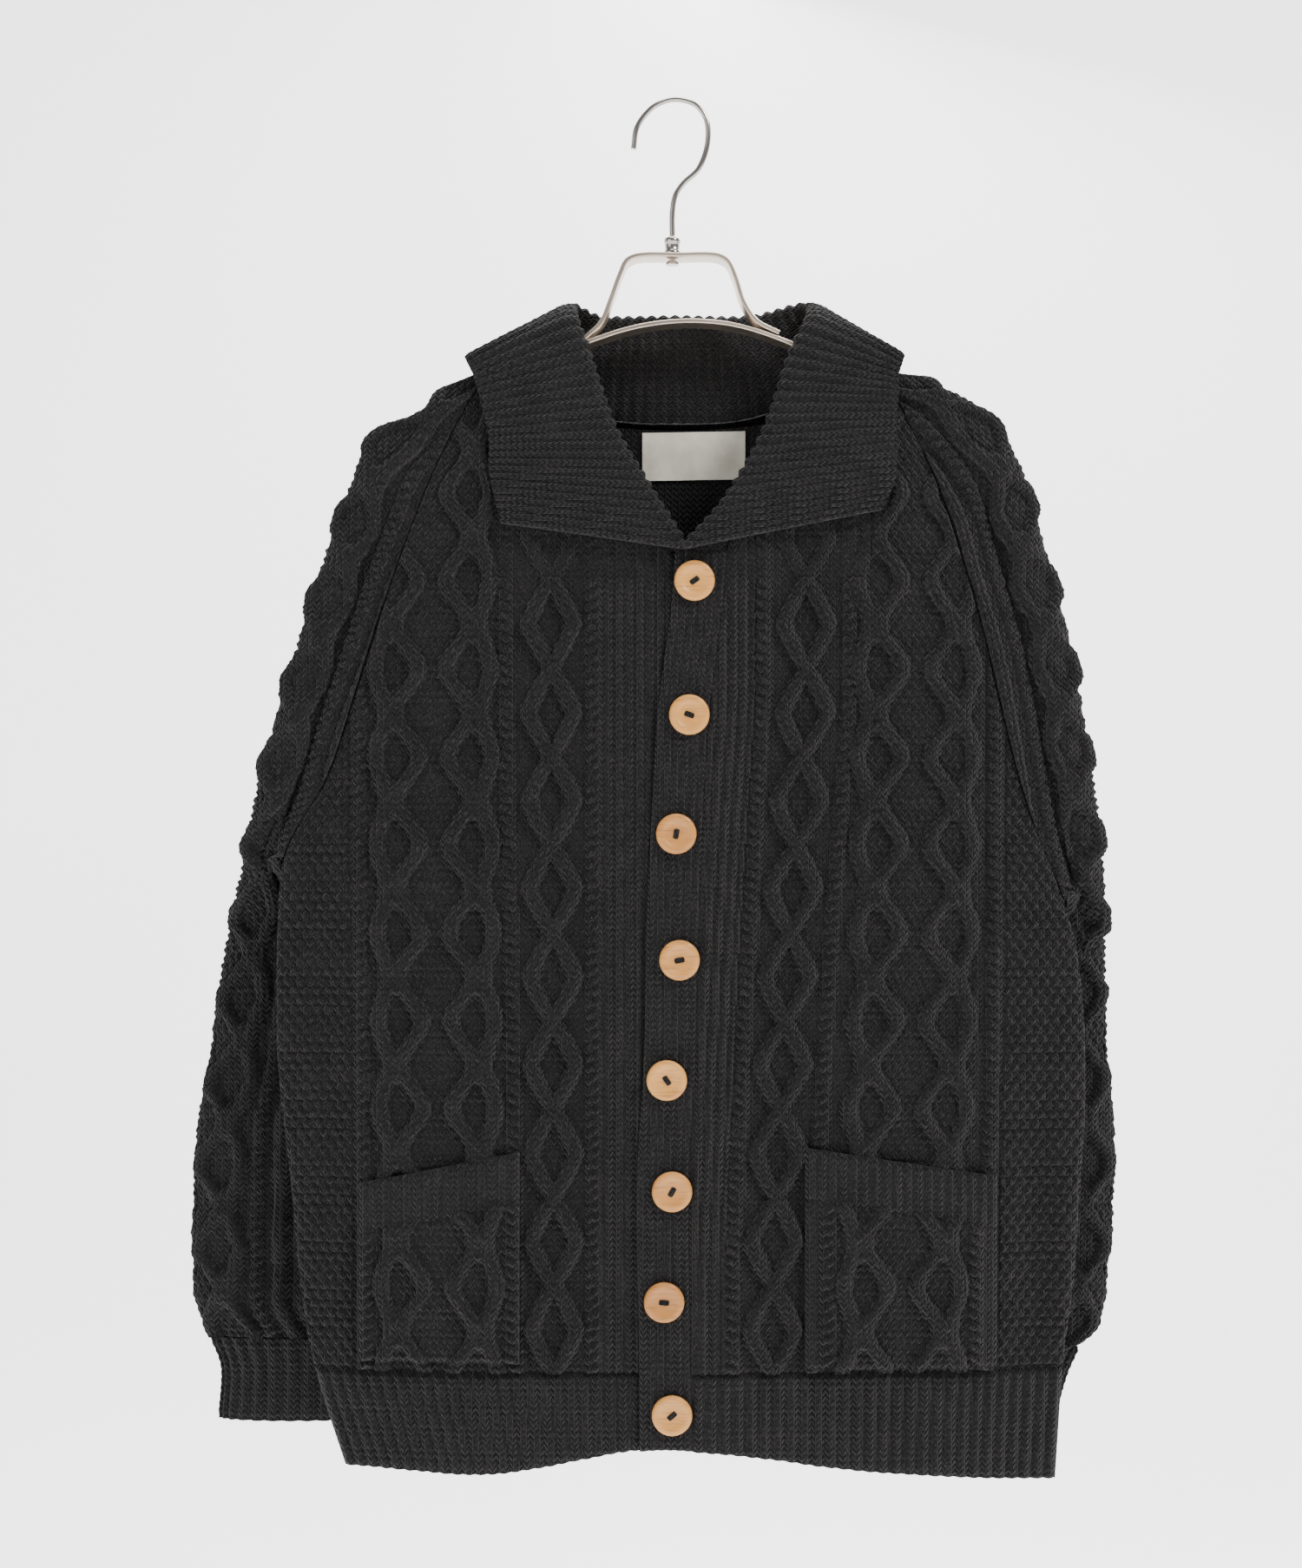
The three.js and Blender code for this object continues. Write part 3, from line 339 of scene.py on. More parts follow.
class Knit:
    """Heights of the knitted patterns, in millimetres over the plain cloth."""

    @staticmethod
    def twist(offset: Grid, z: Grid, half: float, pitch: float, lean: int) -> Grid:
        """Return a rope of two strands that wind round each other.

        Args:
            offset: Distance from the rope's centre line.
            z: Height on the cloth.
            half: Half the rope's width.
            pitch: Length of one bump.
            lean: 1 or -1, the way the strands lean.

        Returns:
            Its height, 0 to 1.
        """
        turn = np.cos(2 * np.pi * (z / pitch + lean * 0.33 * offset / half))
        return dome(offset, half) ** 0.7 * (0.66 + 0.34 * turn)

    @staticmethod
    def cord(offset: Grid) -> Grid:
        """Return a cord three stitches wide, with the grooves between its stitches."""
        return dome(offset, CORD_HALF) ** 0.6 * (0.91 + 0.09 * np.cos(2 * np.pi * offset / (CORD_HALF * 0.66)))

    @staticmethod
    def moss(x: Grid, z: Grid) -> Grid:
        """Return the staggered bumps of moss stitch."""
        shift = np.mod(np.floor(z / MOSS_TALL), 2) * MOSS_WIDE / 2
        across = np.cos(np.pi * (np.mod(x + shift, MOSS_WIDE) / MOSS_WIDE - 0.5)) ** 2
        return across * np.abs(np.sin(np.pi * z / MOSS_TALL))

    @staticmethod
    def rib(offset: Grid, pitch: float) -> Grid:
        """Return round ribs with narrow valleys."""
        return np.clip(0.5 + 0.5 * np.cos(2 * np.pi * offset / pitch), 0, 1) ** 0.7

    @staticmethod
    def stitches(x: Grid, z: Grid) -> Grid:
        """Return columns of V stitches, a little uneven, in millimetres."""
        column = np.mod(x / STITCH_WIDE, 1) - 0.5
        uneven = 0.6 * np.sin(x / 17.0 + 3 * np.sin(z / 43.0))
        turn = 2 * np.pi * (z + uneven) / STITCH_TALL + 3.6 * np.abs(column)
        return 0.34 * np.sin(turn) * (1 - 0.5 * np.abs(column)) - 0.30 * (2 * np.abs(column)) ** 4

    @staticmethod
    def diamonds(offset: Grid, z: Grid) -> Grid:
        """Return two cords that cross and part into diamonds."""
        turn = (z - FIRST_ROW) / CABLE_PERIOD + 0.5
        half_turn = np.mod(turn, 1) - 0.5
        wave = np.abs(half_turn) * 2
        spread = 15.2 * (0.65 * wave + 0.35 * np.sin(np.pi * wave / 2))
        over = np.where(np.mod(np.floor(turn), 2) == 0, 1.0, -1.0)
        near = 1 - ease(0.0, 0.35, wave)
        first = Knit.cord(offset - spread * over * np.sign(half_turn))
        second = Knit.cord(offset + spread * over * np.sign(half_turn))
        inside = (np.abs(offset) < spread - 3) * 0.24 * Knit.moss(offset * 1.3, z * 1.2)
        return np.maximum(np.maximum(first, second * (1 - 0.3 * near)), inside)

    @staticmethod
    def lattice(offset: Grid, z: Grid) -> Grid:
        """Return the wide panel: four cords that bound lozenges and close small chain eyes."""
        angle = 2 * np.pi * (z - FIRST_ROW) / CABLE_PERIOD
        phase = np.cos(angle)
        near = 17.4 - 7.6 * phase
        far = 35.6 + 3.8 * phase
        away = np.abs(offset)
        height = np.maximum(Knit.cord(away - near), Knit.cord(away - far))
        cross = 0.78 + 0.22 * np.cos(angle + 1.2 * np.sign(offset))
        tie = Knit.twist(away - 28.0, z, 5.0, CABLE_PERIOD / 4, 1) * ease(0.1, -0.6, phase)
        filler = 0.22 * Knit.moss(offset * 1.25, z * 1.15)
        return np.maximum(np.maximum(height * cross**0.4, tie), filler)

    @classmethod
    def rope(cls, offset: Grid, z: Grid, lean: int = 1) -> Grid:
        """Return a narrow rope at its own rise."""
        return ROPE_RISE * cls.twist(offset, z, ROPE_HALF, ROPE_PITCH, lean)

    @classmethod
    def laid(cls, z: Grid, lattices: Sequence[Grid], diamonds: Sequence[Grid], others: Sequence[Grid]) -> Grid:
        """Lay panels side by side on the plain cloth.

        Args:
            z: Height on the cloth.
            lattices: Distances from the centre lines of the wide panels.
            diamonds: Distances from the centre lines of the diamonds.
            others: Heights of the other patterns.

        Returns:
            Relief in millimetres.
        """
        heights = [cls.lattice(offset, z) * (np.abs(offset) < LATTICE_HALF) for offset in lattices]
        heights += [cls.diamonds(offset, z) * (np.abs(offset) < DIAMOND_HALF) for offset in diamonds]
        return CABLE_RISE * reduce(np.maximum, [*heights, *others], 0.0)

    @classmethod
    def front(cls, side: Side, x: Grid, z: Grid) -> Grid:
        """Return the height of a front's cables at each point.

        Args:
            side: Which front.
            x: Across the body.
            z: Height.

        Returns:
            Relief in millimetres.
        """
        strip, inner, diamond, outer, wide, far = (side.value * (x - LEAN[side].at(z, k)) for k in range(6))
        others = [cls.rope(inner, z), cls.rope(outer, z, -1), cls.rope(far, z)]
        others.append(MOSS_RISE * cls.moss(far, z) * (far > 8))
        others.append(STRIP_RISE * cls.rib(strip, STRIP_PITCH) * (strip < STRIP_HALF))
        return cls.laid(z, [wide], [diamond], others) + cls.stitches(x, z)

    @classmethod
    def body_back(cls, x: Grid, z: Grid) -> Grid:
        """Return the back's cables: the fronts' panels, mirrored about a central lattice."""
        away = np.abs(x - MIDDLE)
        others = [cls.rope(away - rope, z) for rope in (53.0, 106.0, 206.0)]
        others.append(MOSS_RISE * cls.moss(x, z) * (away > 214))
        return cls.laid(z, [x - MIDDLE, away - 156.0], [away - 79.5], others) + cls.stitches(x, z)

    @classmethod
    def sleeve(cls, across: Grid, down: Grid) -> Grid:
        """Return a sleeve's cables by distance from its outer fold and down its length."""
        away = np.abs(across)
        others = [cls.rope(away - rope, down) for rope in (52.0, 84.0)]
        others.append(0.75 * cls.cord(away - 68.0) * (away < 76))
        others.append(MOSS_RISE * cls.moss(across, down) * (away > 91))
        return cls.laid(down, [across], [], others) + cls.stitches(across, down)


@dataclass
class Cloth:
    """A closed wall of cloth: a fine outer face, a plain inner face and a rounded rim.

    Attributes:
        name: The piece's name.
        base: Outer face without relief, rows by columns by three, in millimetres.
        relief: Height of the knit over the base, in millimetres.
        thick: Thickness of the wall.
        facing: Fixed outward direction, or None to take the surface's own.
        flip: Turns the surface's own direction round.
        soft_rim: How far the outer face rolls in at its free edges.
        step: Every how many columns the inner face keeps a point.
        centred: Takes base as the wall's middle instead of its outer face.
    """

    name: str
    base: Grid
    relief: Grid
    thick: float = CLOTH
    facing: tuple[float, float, float] | None = None
    flip: bool = False
    soft_rim: float = 0.0
    step: int = 6
    centred: bool = False

    def normals(self) -> Grid:
        """Return the outward direction at each point."""
        if self.facing is not None:
            return np.broadcast_to(np.array(self.facing, dtype=float), self.base.shape)
        across = np.gradient(self.base, axis=1)
        down = np.gradient(self.base, axis=0)
        normal = np.cross(across, down)
        length = np.linalg.norm(normal, axis=2, keepdims=True)
        normal = normal / np.maximum(length, 1e-9)
        return -normal if self.flip else normal

    def rim_drop(self) -> Grid:
        """Return how far each point rolls in towards the free edges."""
        rows, columns = self.base.shape[:2]
        near_row, near_column = (np.minimum(np.arange(n), np.arange(n)[::-1]) for n in (rows, columns))
        return self.soft_rim * (1 - ease(0, 2.5, np.minimum(near_row[:, None], near_column[None, :])))

    def build(self) -> bpy.types.Object:
        """Make the mesh.

        Returns:
            The closed wall as an object.
        """
        rows, columns = self.base.shape[:2]
        normal = self.normals()
        push = self.relief - self.rim_drop() + (self.thick / 2 if self.centred else 0)
        outer = self.base + normal * push[..., None]
        kept = np.unique(np.append(np.arange(0, columns, self.step), columns - 1))
        depth = self.thick / 2 if self.centred else self.thick
        inner = (self.base - normal * depth)[:, kept]
        points = np.concatenate([outer.reshape(-1, 3), inner.reshape(-1, 3)])
        low = np.arange(rows - 1)[:, None]
        last = len(kept) - 1

        def out(j: Grid, i: Grid) -> Grid:
            """Number a point of the outer face."""
            return j * columns + i

        def inn(j: Grid, k: Grid) -> Grid:
            """Number a point of the inner face."""
            return rows * columns + j * len(kept) + k

        def quads(a: Grid, b: Grid, c: Grid, d: Grid) -> list[list[int]]:
            """List four-sided faces by their corners."""
            return np.stack(np.broadcast_arrays(a, b, c, d), -1).reshape(-1, 4).tolist()

        i, k, end = np.arange(columns - 1), np.arange(last), columns - 1
        faces = quads(out(low, i), out(low + 1, i), out(low + 1, i + 1), out(low, i + 1))
        faces += quads(inn(low, k), inn(low, k + 1), inn(low + 1, k + 1), inn(low + 1, k))
        faces += quads(out(low, 0), inn(low, 0), inn(low + 1, 0), out(low + 1, 0))
        faces += quads(out(low, end), out(low + 1, end), inn(low + 1, last), inn(low, last))
        for row, turned in ((0, False), (rows - 1, True)):
            for number in range(last):
                run = [out(row, c) for c in range(kept[number], kept[number + 1] + 1)]
                loop = run + [inn(row, number + 1), inn(row, number)]
                faces.append(loop[::-1] if turned else loop)
        return make_object(self.name, points * MM, faces)


def linked(name: str, data: bpy.types.ID) -> bpy.types.Object:
    """Return a new object of some data, linked to the scene."""
    item = bpy.data.objects.new(name, data)
    bpy.context.scene.collection.objects.link(item)
    return item


def make_object(name: str, points: Grid, faces: Sequence[Sequence[int]], sharp: float = 50.0) -> bpy.types.Object:
    """Make a mesh object with smooth faces and sharp edges past an angle.

    Args:
        name: Object name.
        points: Vertices in metres.
        faces: Vertex numbers of each face.
        sharp: Angle in degrees above which an edge stays sharp.

    Returns:
        The object, linked to the scene.
    """
    mesh = bpy.data.meshes.new(name)
    mesh.from_pydata(points.tolist(), [], [list(face) for face in faces])
    mesh.validate()
    mesh.update()
    piece = linked(name, mesh)
    mesh.shade_smooth()
    mesh.set_sharp_from_angle(angle=math.radians(sharp))
    return piece


@dataclass
class Body:
    """The back, the two fronts with their pockets, the hems and the bands.

    Attributes:
        fine: Spacing of the fronts' points in millimetres.
        coarse: Spacing of the back's points.
    """

    fine: float = 1.7
    coarse: float = 2.4

    @staticmethod
    def front_edges(side: Side, z: Grid) -> tuple[Grid, Grid]:
        """Return a front's inner and outer edge at each height."""
        shift = 2.0 if side is Side.RIGHT else BAND_WIDTH - 0.4
        blend = ease(BAND_TOP - 12, BAND_TOP + 12, z)
        return mix(BAND_EDGE.at(z) + shift, NECK[side].at(z), blend), EDGE[side].at(z)

    @staticmethod
    def back_edges(z: Grid) -> tuple[Grid, Grid]:
        """Return the back's two side edges at each height."""
        return EDGE[Side.RIGHT].at(z), EDGE[Side.LEFT].at(z)

    def front(self, side: Side) -> Cloth:
        """Return one front, from its neck edge down to its hem."""
        rows = int((TOP - PANEL_END) / self.fine)
        columns = int(FRONT_WIDE / self.fine)
        z = smooth_rows(rows, TOP - 1.5, PANEL_END)
        share = shares(columns)
        inner, outer = self.front_edges(side, z)
        x = mix(inner, outer, share)
        z = np.broadcast_to(z, x.shape)
        base = np.stack([x, front_depth(side, x, z), z], -1)
        x0, x1, z0, z1, low = POCKETS[side]
        pressed = (x > x0 + 1) & (x < x1 - 1) & (z < min(z0, z1) - 4) & (z > low + 1)
        pressed |= (np.abs(x - MIDDLE) < COLLAR_HALF) & (z > COLLAR_LOW)
        relief = Knit.front(side, x, z) * faded(share, 0.012) * np.where(pressed, PRESSED, 1.0)
        return Cloth(f"front_panel_{side.tag}", base, relief, facing=(0, -1, 0))

    def hem(self, name: str, edges: Callable[[Grid], tuple[Grid, Grid]], bottom: Curve,
            face: Height, facing: int) -> Cloth:
        """Return a ribbed hem.

        Args:
            name: Piece name.
            edges: Its two side edges at a height.
            bottom: Its lowest line.
            face: Its outer depth.
            facing: -1 for the front, 1 for the back.

        Returns:
            The hem.
        """
        top = PANEL_END - SEAM
        start, end = edges(np.array([top]))
        width = float(abs(end[0] - start[0]))
        columns = int(width / 1.3)
        share = shares(columns)
        guess = mix(start[0], end[0], share)
        z = mix(np.full_like(guess, top), bottom.at(guess), smooth_rows(HEM_ROWS, 0, 1))
        x = mix(*edges(z), share)
        ribs = round(width / HEM_RIB_PITCH)
        relief = 2.5 * Knit.rib(share * ribs - 0.5, 1.0) + 0.35 * np.sin(2 * np.pi * z / 5.4)
        relief *= ease(-0.5, 2.5, np.arange(HEM_ROWS)[:, None])
        return Cloth(name, np.stack([x, face(x, z), z], -1), relief, facing=(0, facing, 0), soft_rim=1.2)

    def back(self) -> Cloth:
        """Return the back, from the neck seam down to its hem."""
        rows = int((TOP - PANEL_END) / self.coarse)
        columns = int(BACK_WIDE / self.coarse)
        share = shares(columns)
        z = smooth_rows(rows, TOP - 1, PANEL_END) * np.ones((1, columns))
        for _ in range(3):
            x = mix(*self.back_edges(z), share)
            z = mix(BACK_NECK.at(x) - 0.8, np.full_like(x, PANEL_END), smooth_rows(rows, 0, 1))
        base = np.stack([x, back_face(x, z), z], -1)
        return Cloth("back_panel", base, Knit.body_back(x, z) * faded(share, 0.012), facing=(0, 1, 0))

    def band(self, upper: bool) -> Cloth:
        """Return the upper or the lower front band."""
        left = 0.0 if upper else 2.5
        width = BAND_WIDTH - (0 if upper else 4)
        share = shares(48)
        bottom = FRONT_HEM.at(-25.5 + left + width * share)
        z = mix(np.full_like(bottom, BAND_TOP + (8.0 if upper else 0.0)), bottom, smooth_rows(420, 0, 1))
        x = BAND_EDGE.at(z) + left + width * share
        y = front_face(x, z) - (BAND_LIFT if upper else 0)
        ribs = 1.25 * Knit.rib(share * BAND_RIBS - 0.5, 1.0) + 0.22 * np.sin(2 * np.pi * z / 5.2)
        relief = ribs if upper else np.zeros_like(x)
        name = "band_upper" if upper else "band_lower"
        return Cloth(name, np.stack([x, y, z], -1), relief, facing=(0, -1, 0), soft_rim=1.1)

    def pocket(self, side: Side) -> Cloth:
        """Return a patch pocket that carries its front's wide panel under a ribbed top."""
        x0, x1, z0, z1, low = POCKETS[side]
        columns = int((x1 - x0) / 1.3)
        share = shares(columns)
        down = smooth_rows(110, 0, 1)
        x = mix(x0, x1, share) * np.ones_like(down)
        z = mix(mix(z0, z1, share), low, down)
        top = (z0 + (z1 - z0) * share) - z
        ribbed = 1 - ease(31, 35, top)
        ribs = 1.5 * Knit.rib(x - x0 - POCKET_RIB_PITCH / 2, POCKET_RIB_PITCH)
        offset = x - (x0 + x1) / 2
        cables = Knit.laid(z, [offset], [], [Knit.rope(np.abs(offset) - 49.5, z)])
        turned = 1.2 * np.exp(-((top - 34.0) / 1.6) ** 2)
        relief = mix(cables, ribs, ribbed) - turned
        y = front_depth(side, x, z) - POCKET_LIFT - POCKET_CLOTH
        name = f"patch_pocket_{side.tag}"
        return Cloth(name, np.stack([x, y, z], -1), relief, POCKET_CLOTH, facing=(0, -1, 0), soft_rim=1.6)

    def pieces(self) -> list[tuple[Cloth, str]]:
        """Return every piece of the body with the node that it stands for."""
        found = [(self.back(), "back")]
        for side in Side:
            edges, face = partial(self.front_edges, side), partial(front_depth, side)
            found.append((self.front(side), f"front_{side.tag}"))
            found.append((self.hem(f"front_hem_{side.tag}", edges, FRONT_HEM, face, -1), f"hem_{side.tag}"))
            found.append((self.pocket(side), f"pocket_{side.tag}"))
        found.append((self.hem("back_hem", self.back_edges, BACK_HEM, back_face, 1), "hem_back"))
        found.append((self.band(False), "band_right"))
        found.append((self.band(True), "band_left"))
        return found


@dataclass
class Sleeve:
    """One raglan sleeve, a rolled sheet from its raglan seams down to the cuff.

    Attributes:
        side: Which sleeve.
        around: Points round the sleeve.
        down: Points along it.
    """

    side: Side
    around: int = 210
    down: int = 380

    def surface(self) -> tuple[Grid, Grid, Grid]:
        """Return the plain outer face, and each point's distance from the outer fold and down the sleeve."""
        turn = shares(self.around)
        row = smooth_rows(self.down, 0, 19)
        tx, tz, ix, iz = (SLEEVE[self.side].at(row, column) for column in range(4))
        mid, deep, shut, seam = (SLEEVE_DEPTH.at(row, column) for column in range(4))
        shut = np.clip(shut, 0, 1)
        out = 0.5 + 0.5 * np.cos(np.pi * np.abs(1 - 2 * turn))
        back = turn > 0.5
        raglan = EDGE[self.side].at(iz) + self.side.value * SLEEVE_SEAM
        inner = mix(raglan, ix, np.clip(shut * 2, 0, 1))
        seam_depth = np.where(back, back_face(raglan, iz), front_face(raglan, iz))
        closed = seam + np.where(back, SEAM, -SEAM) / 2
        start = mix(seam_depth, closed, shut)
        rolled = ease(0, 0.45, out)
        open_form = np.sqrt(np.clip(1 - out**4, 0, 1))
        shut_form = np.sqrt(np.clip(1 - np.abs(2 * out - 1) ** 3, 0, 1))
        bulge = mix(open_form, shut_form, shut)
        fall = np.where(back, 1, -1) * deep * bulge + mid
        y = mix(start, fall, np.where(shut > 0.5, ease(0, 0.12, out), rolled))
        x = mix(inner, tx, out)
        z = mix(iz, tz, out)
        x, y = self.folds(x, y, z, out, row)
        base = np.stack(np.broadcast_arrays(x, y, z), -1)
        length = np.concatenate([np.zeros((self.down, 1)), np.cumsum(steps(base, 1), axis=1)], axis=1)
        across = length - length[:, self.around // 2][:, None]
        return base, across, walked(base[:, self.around // 2])[:, None]

    def folds(self, x: Grid, y: Grid, z: Grid, out: Grid, row: Grid) -> tuple[Grid, Grid]:
        """Press the sleeve's hanging folds into its surface."""
        valley = np.exp(-((out - 0.42) / 0.16) ** 2) * ease(2.2, 4, row) * (1 - ease(7.2, 9.5, row))
        elbow = sum(depth * np.exp(-((z - centre) / 13) ** 2) for centre, depth in
                    ((-650, 2.6), (-700, -1.6), (-756, 2.4), (-800, 2.8), (-829, -1.4)))
        edge = np.clip(1 - np.abs(out - 0.9) * 4, 0, 1)
        front = np.where(y < 40, 1.0, -1.0)
        scallop = 1.3 * np.cos(2 * np.pi * z / 14.3) * edge * ease(1, 3, row)
        pressed = y + front * (7.0 * valley + elbow * (1 - edge) * ease(9, 12, row))
        return x - self.side.value * (0.9 * elbow * edge * ease(9, 12, row) + scallop * 0.5), pressed

    def cloth(self) -> Cloth:
        """Return the knitted sleeve."""
        base, across, run = self.surface()
        relief = Knit.sleeve(across, run) * faded(shares(self.around), 0.03)
        relief *= ease(0, 0.8, smooth_rows(self.down, 0, 19))
        return Cloth(f"raglan_sleeve_{self.side.tag}", base, relief, flip=self.side is Side.LEFT, step=5)

    def cuff(self) -> Cloth:
        """Return the ribbed cuff."""
        turn = shares(CUFF_RIBS * 8 + 1)
        row = smooth_rows(36, 0, 2)
        tx, ix, z, deep = (CUFFS[self.side].at(row, column) for column in range(4))
        half = (tx - ix) / 2
        angle = 2 * np.pi * turn
        slit = np.where(turn == 0, -SEAM / 2, np.where(turn == 1, SEAM / 2, 0))
        x = ix + half - half * np.cos(angle)
        y = CUFF_MIDDLE - deep * np.sin(angle) + slit
        base = np.stack(np.broadcast_arrays(x, y, z), -1)
        relief = 2.1 * Knit.rib(turn * CUFF_RIBS - 0.5, 1.0) + 0.3 * np.sin(2 * np.pi * z / 5.2)
        return Cloth(f"ribbed_cuff_{self.side.tag}", base, relief, flip=self.side is Side.LEFT,
                     soft_rim=0.8, step=4)


@dataclass
class Collar:
    """The ribbed shawl collar: a stand that rolls over into a fall.

    Attributes:
        along: Points round the neck.
        over: Points from the seam to the outer edge.
    """

    along: int = 700
    over: int = 76

    @staticmethod
    def seam(row: Grid, x: Grid, z: Grid) -> tuple[Grid, Grid]:
        """Return the neck seam, kept to the necks of the fronts and the back."""
        last = COLLAR_ROWS
        right = NECK[Side.RIGHT].at(z) + COLLAR_SEAM
        left = NECK[Side.LEFT].at(z) - COLLAR_SEAM
        back = np.maximum(z, BACK_NECK.at(x) + COLLAR_SEAM)
        seam_x = np.where(row <= 3, right, np.where(row >= last - 3, left, x))
        seam_x = np.where((row > 3) & (row < 4), np.maximum(x, right), seam_x)
        seam_x = np.where((row > last - 4) & (row < last - 3), np.minimum(x, left), seam_x)
        return seam_x, np.where((row >= 4) & (row <= last - 4), back, z)

    @staticmethod
    def behind(row: Grid, start: float, end: float) -> Grid:
        """Return 0 over the fronts and 1 behind the neck, blended between two rows on each side."""
        return ease(start, end, row) * (1 - ease(COLLAR_ROWS - end, COLLAR_ROWS - start, row))

    @staticmethod
    def on_body(x: Grid, z: Grid) -> Grid:
        """Return the depth of the collar's middle where it is sewn to the fronts."""
        return np.where(x < MIDDLE, front_face(x, z), front_depth(Side.LEFT, x, z)) + CLOTH / 2

    @staticmethod
    def sized(direction: Grid, size: float) -> Grid:
        """Return vectors of one size in the given directions."""
        return size * direction / np.linalg.norm(direction, axis=-1, keepdims=True)

    def cloth(self) -> Cloth:
        """Return the collar, its ribs running from the seam to the outer edge."""
        row = np.linspace(0, COLLAR_ROWS, self.along)[None, :]
        down = smooth_rows(self.over, 0, 1)
        sx, sz, rx, rz, ex, ez, nx, ny = (COLLAR.at(row, column) for column in range(8))
        to_back, fall_back = self.behind(row, 3.4, 4.45), self.behind(row, 3.55, 4.6)
        sx, sz = self.seam(row, sx, sz)
        seam = np.stack([sx, mix(self.on_body(sx, sz), NECK_SEAM, to_back), sz], -1)
        roll_y = mix(mix(self.on_body(rx, rz), NECK_SEAM, to_back), NECK_ROLL, to_back)
        roll = np.stack([rx, roll_y, rz], -1)
        edge_y = mix(self.on_body(ex, ez) - COLLAR_FOLD - 0.5, NECK_EDGE, fall_back)
        edge = np.stack([ex, edge_y, ez], -1)
        fold = self.sized(np.stack([nx, ny, np.zeros_like(nx)], -1), COLLAR_FOLD)
        crown = self.sized(roll - seam, COLLAR_FOLD / 2)
        share = down[..., None]
        stand = mix(seam, roll, share / 0.4)
        fall = mix(roll + fold, edge, (share - 0.6) / 0.4)
        angle = np.clip((share - 0.4) / 0.2, 0, 1) * np.pi
        bend = roll + fold * (1 - np.cos(angle)) / 2 + crown * np.sin(angle)
        base = np.where(share <= 0.4, stand, np.where(share >= 0.6, fall, bend))
        sag = np.sin(np.clip((down - 0.6) / 0.4, 0, 1) * np.pi) * (1 - fall_back)
        base[..., 1] -= 2.2 * sag
        stitches = 0.3 * np.sin(2 * np.pi * down * 150 / 5.4)
        relief = 2.0 * Knit.rib(walked(roll[0])[None, :] - 2, COLLAR_RIB_PITCH) + stitches
        return Cloth("shawl_collar", base, relief, COLLAR_CLOTH, centred=True, soft_rim=1.0, step=4)


def tube(start: int, sides: int, stations: int) -> list[list[int]]:
    """Return the faces between rings whose points are numbered ring after ring from a start."""
    return [[low + i, low + (i + 1) % sides, low + sides + (i + 1) % sides, low + sides + i]
            for low in range(start, start + (stations - 1) * sides, sides) for i in range(sides)]


def swept(name: str, line: Sequence[tuple[float, float]], section: Sequence[tuple[float, float]],
          stations: int) -> bpy.types.Object:
    """Sweep a section along a smooth line in the hanger's plane.

    Args:
        name: Object name.
        line: Points x, z in millimetres.
        section: Section points: out from the line in its plane, and along Y.
        stations: How many sections.

    Returns:
        The closed swept object.
    """
    knots = np.array(line, dtype=float)
    run = walked(knots)
    curve = Curve(*[(r, x, z) for r, (x, z) in zip(run, knots)])
    at = np.linspace(0, run[-1], stations)
    middle = np.stack([curve.at(at, 0), curve.at(at, 1)], -1)
    tangent = np.gradient(middle, axis=0)
    tangent /= np.linalg.norm(tangent, axis=1, keepdims=True)
    normal = np.stack([-tangent[:, 1], tangent[:, 0]], -1)
    count = len(section)
    points = [(m[0] + n[0] * u, v, m[1] + n[1] * u)
              for m, n in zip(middle, normal) for u, v in section]
    faces = tube(0, count, stations)
    faces.append(list(range(count))[::-1])
    faces.append([(stations - 1) * count + i for i in range(count)])
    return make_object(name, np.array(points) * MM, faces, sharp=40)


def round_section(radius: float, sides: int) -> list[tuple[float, float]]:
    """Return a circle's points."""
    return [(radius * math.cos(2 * math.pi * i / sides), radius * math.sin(2 * math.pi * i / sides))
            for i in range(sides)]


def strip_section(thick: float, deep: float, edge: float) -> list[tuple[float, float]]:
    """Return a flat strip's section with eased corners."""
    points = []
    for sx, sy, start in ((1, 1, 0), (-1, 1, 90), (-1, -1, 180), (1, -1, 270)):
        for turn in (0, 30, 60, 90):
            angle = math.radians(start + turn)
            points.append((sx * (thick / 2 - edge) + edge * math.cos(angle),
                           sy * (deep / 2 - edge) + edge * math.sin(angle)))
    return points


def lathed(name: str, outline: Sequence[tuple[float, float]], sides: int, place: tuple[float, float, float],
           axis: str) -> bpy.types.Object:
    """Turn an outline of radius and height about an axis.

    Args:
        name: Object name.
        outline: Points from the axis round to the axis.
        sides: How many sides.
        place: Where the axis starts, in millimetres.
        axis: "front" to rise towards -Y, "up" to rise towards +Z.

    Returns:
        The turned object.
    """
    points: list[tuple[float, float, float]] = []
    rings: list[list[int]] = []
    for radius, height in outline:
        ring = []
        for i in range(sides if radius > 0 else 1):
            angle = 2 * math.pi * i / sides
            u, v = radius * math.cos(angle), radius * math.sin(angle)
            local = (u, -height, v) if axis == "front" else (u, v, height)
            ring.append(len(points))
            points.append(tuple(p + q for p, q in zip(place, local)))
        rings.append(ring)
    faces = []
    for low, high in zip(rings, rings[1:]):
        for i in range(sides):
            face = [low[i % len(low)], low[(i + 1) % len(low)], high[(i + 1) % len(high)], high[i % len(high)]]
            faces.append(list(dict.fromkeys(face)))
    return make_object(name, np.array(points) * MM, faces, sharp=60)


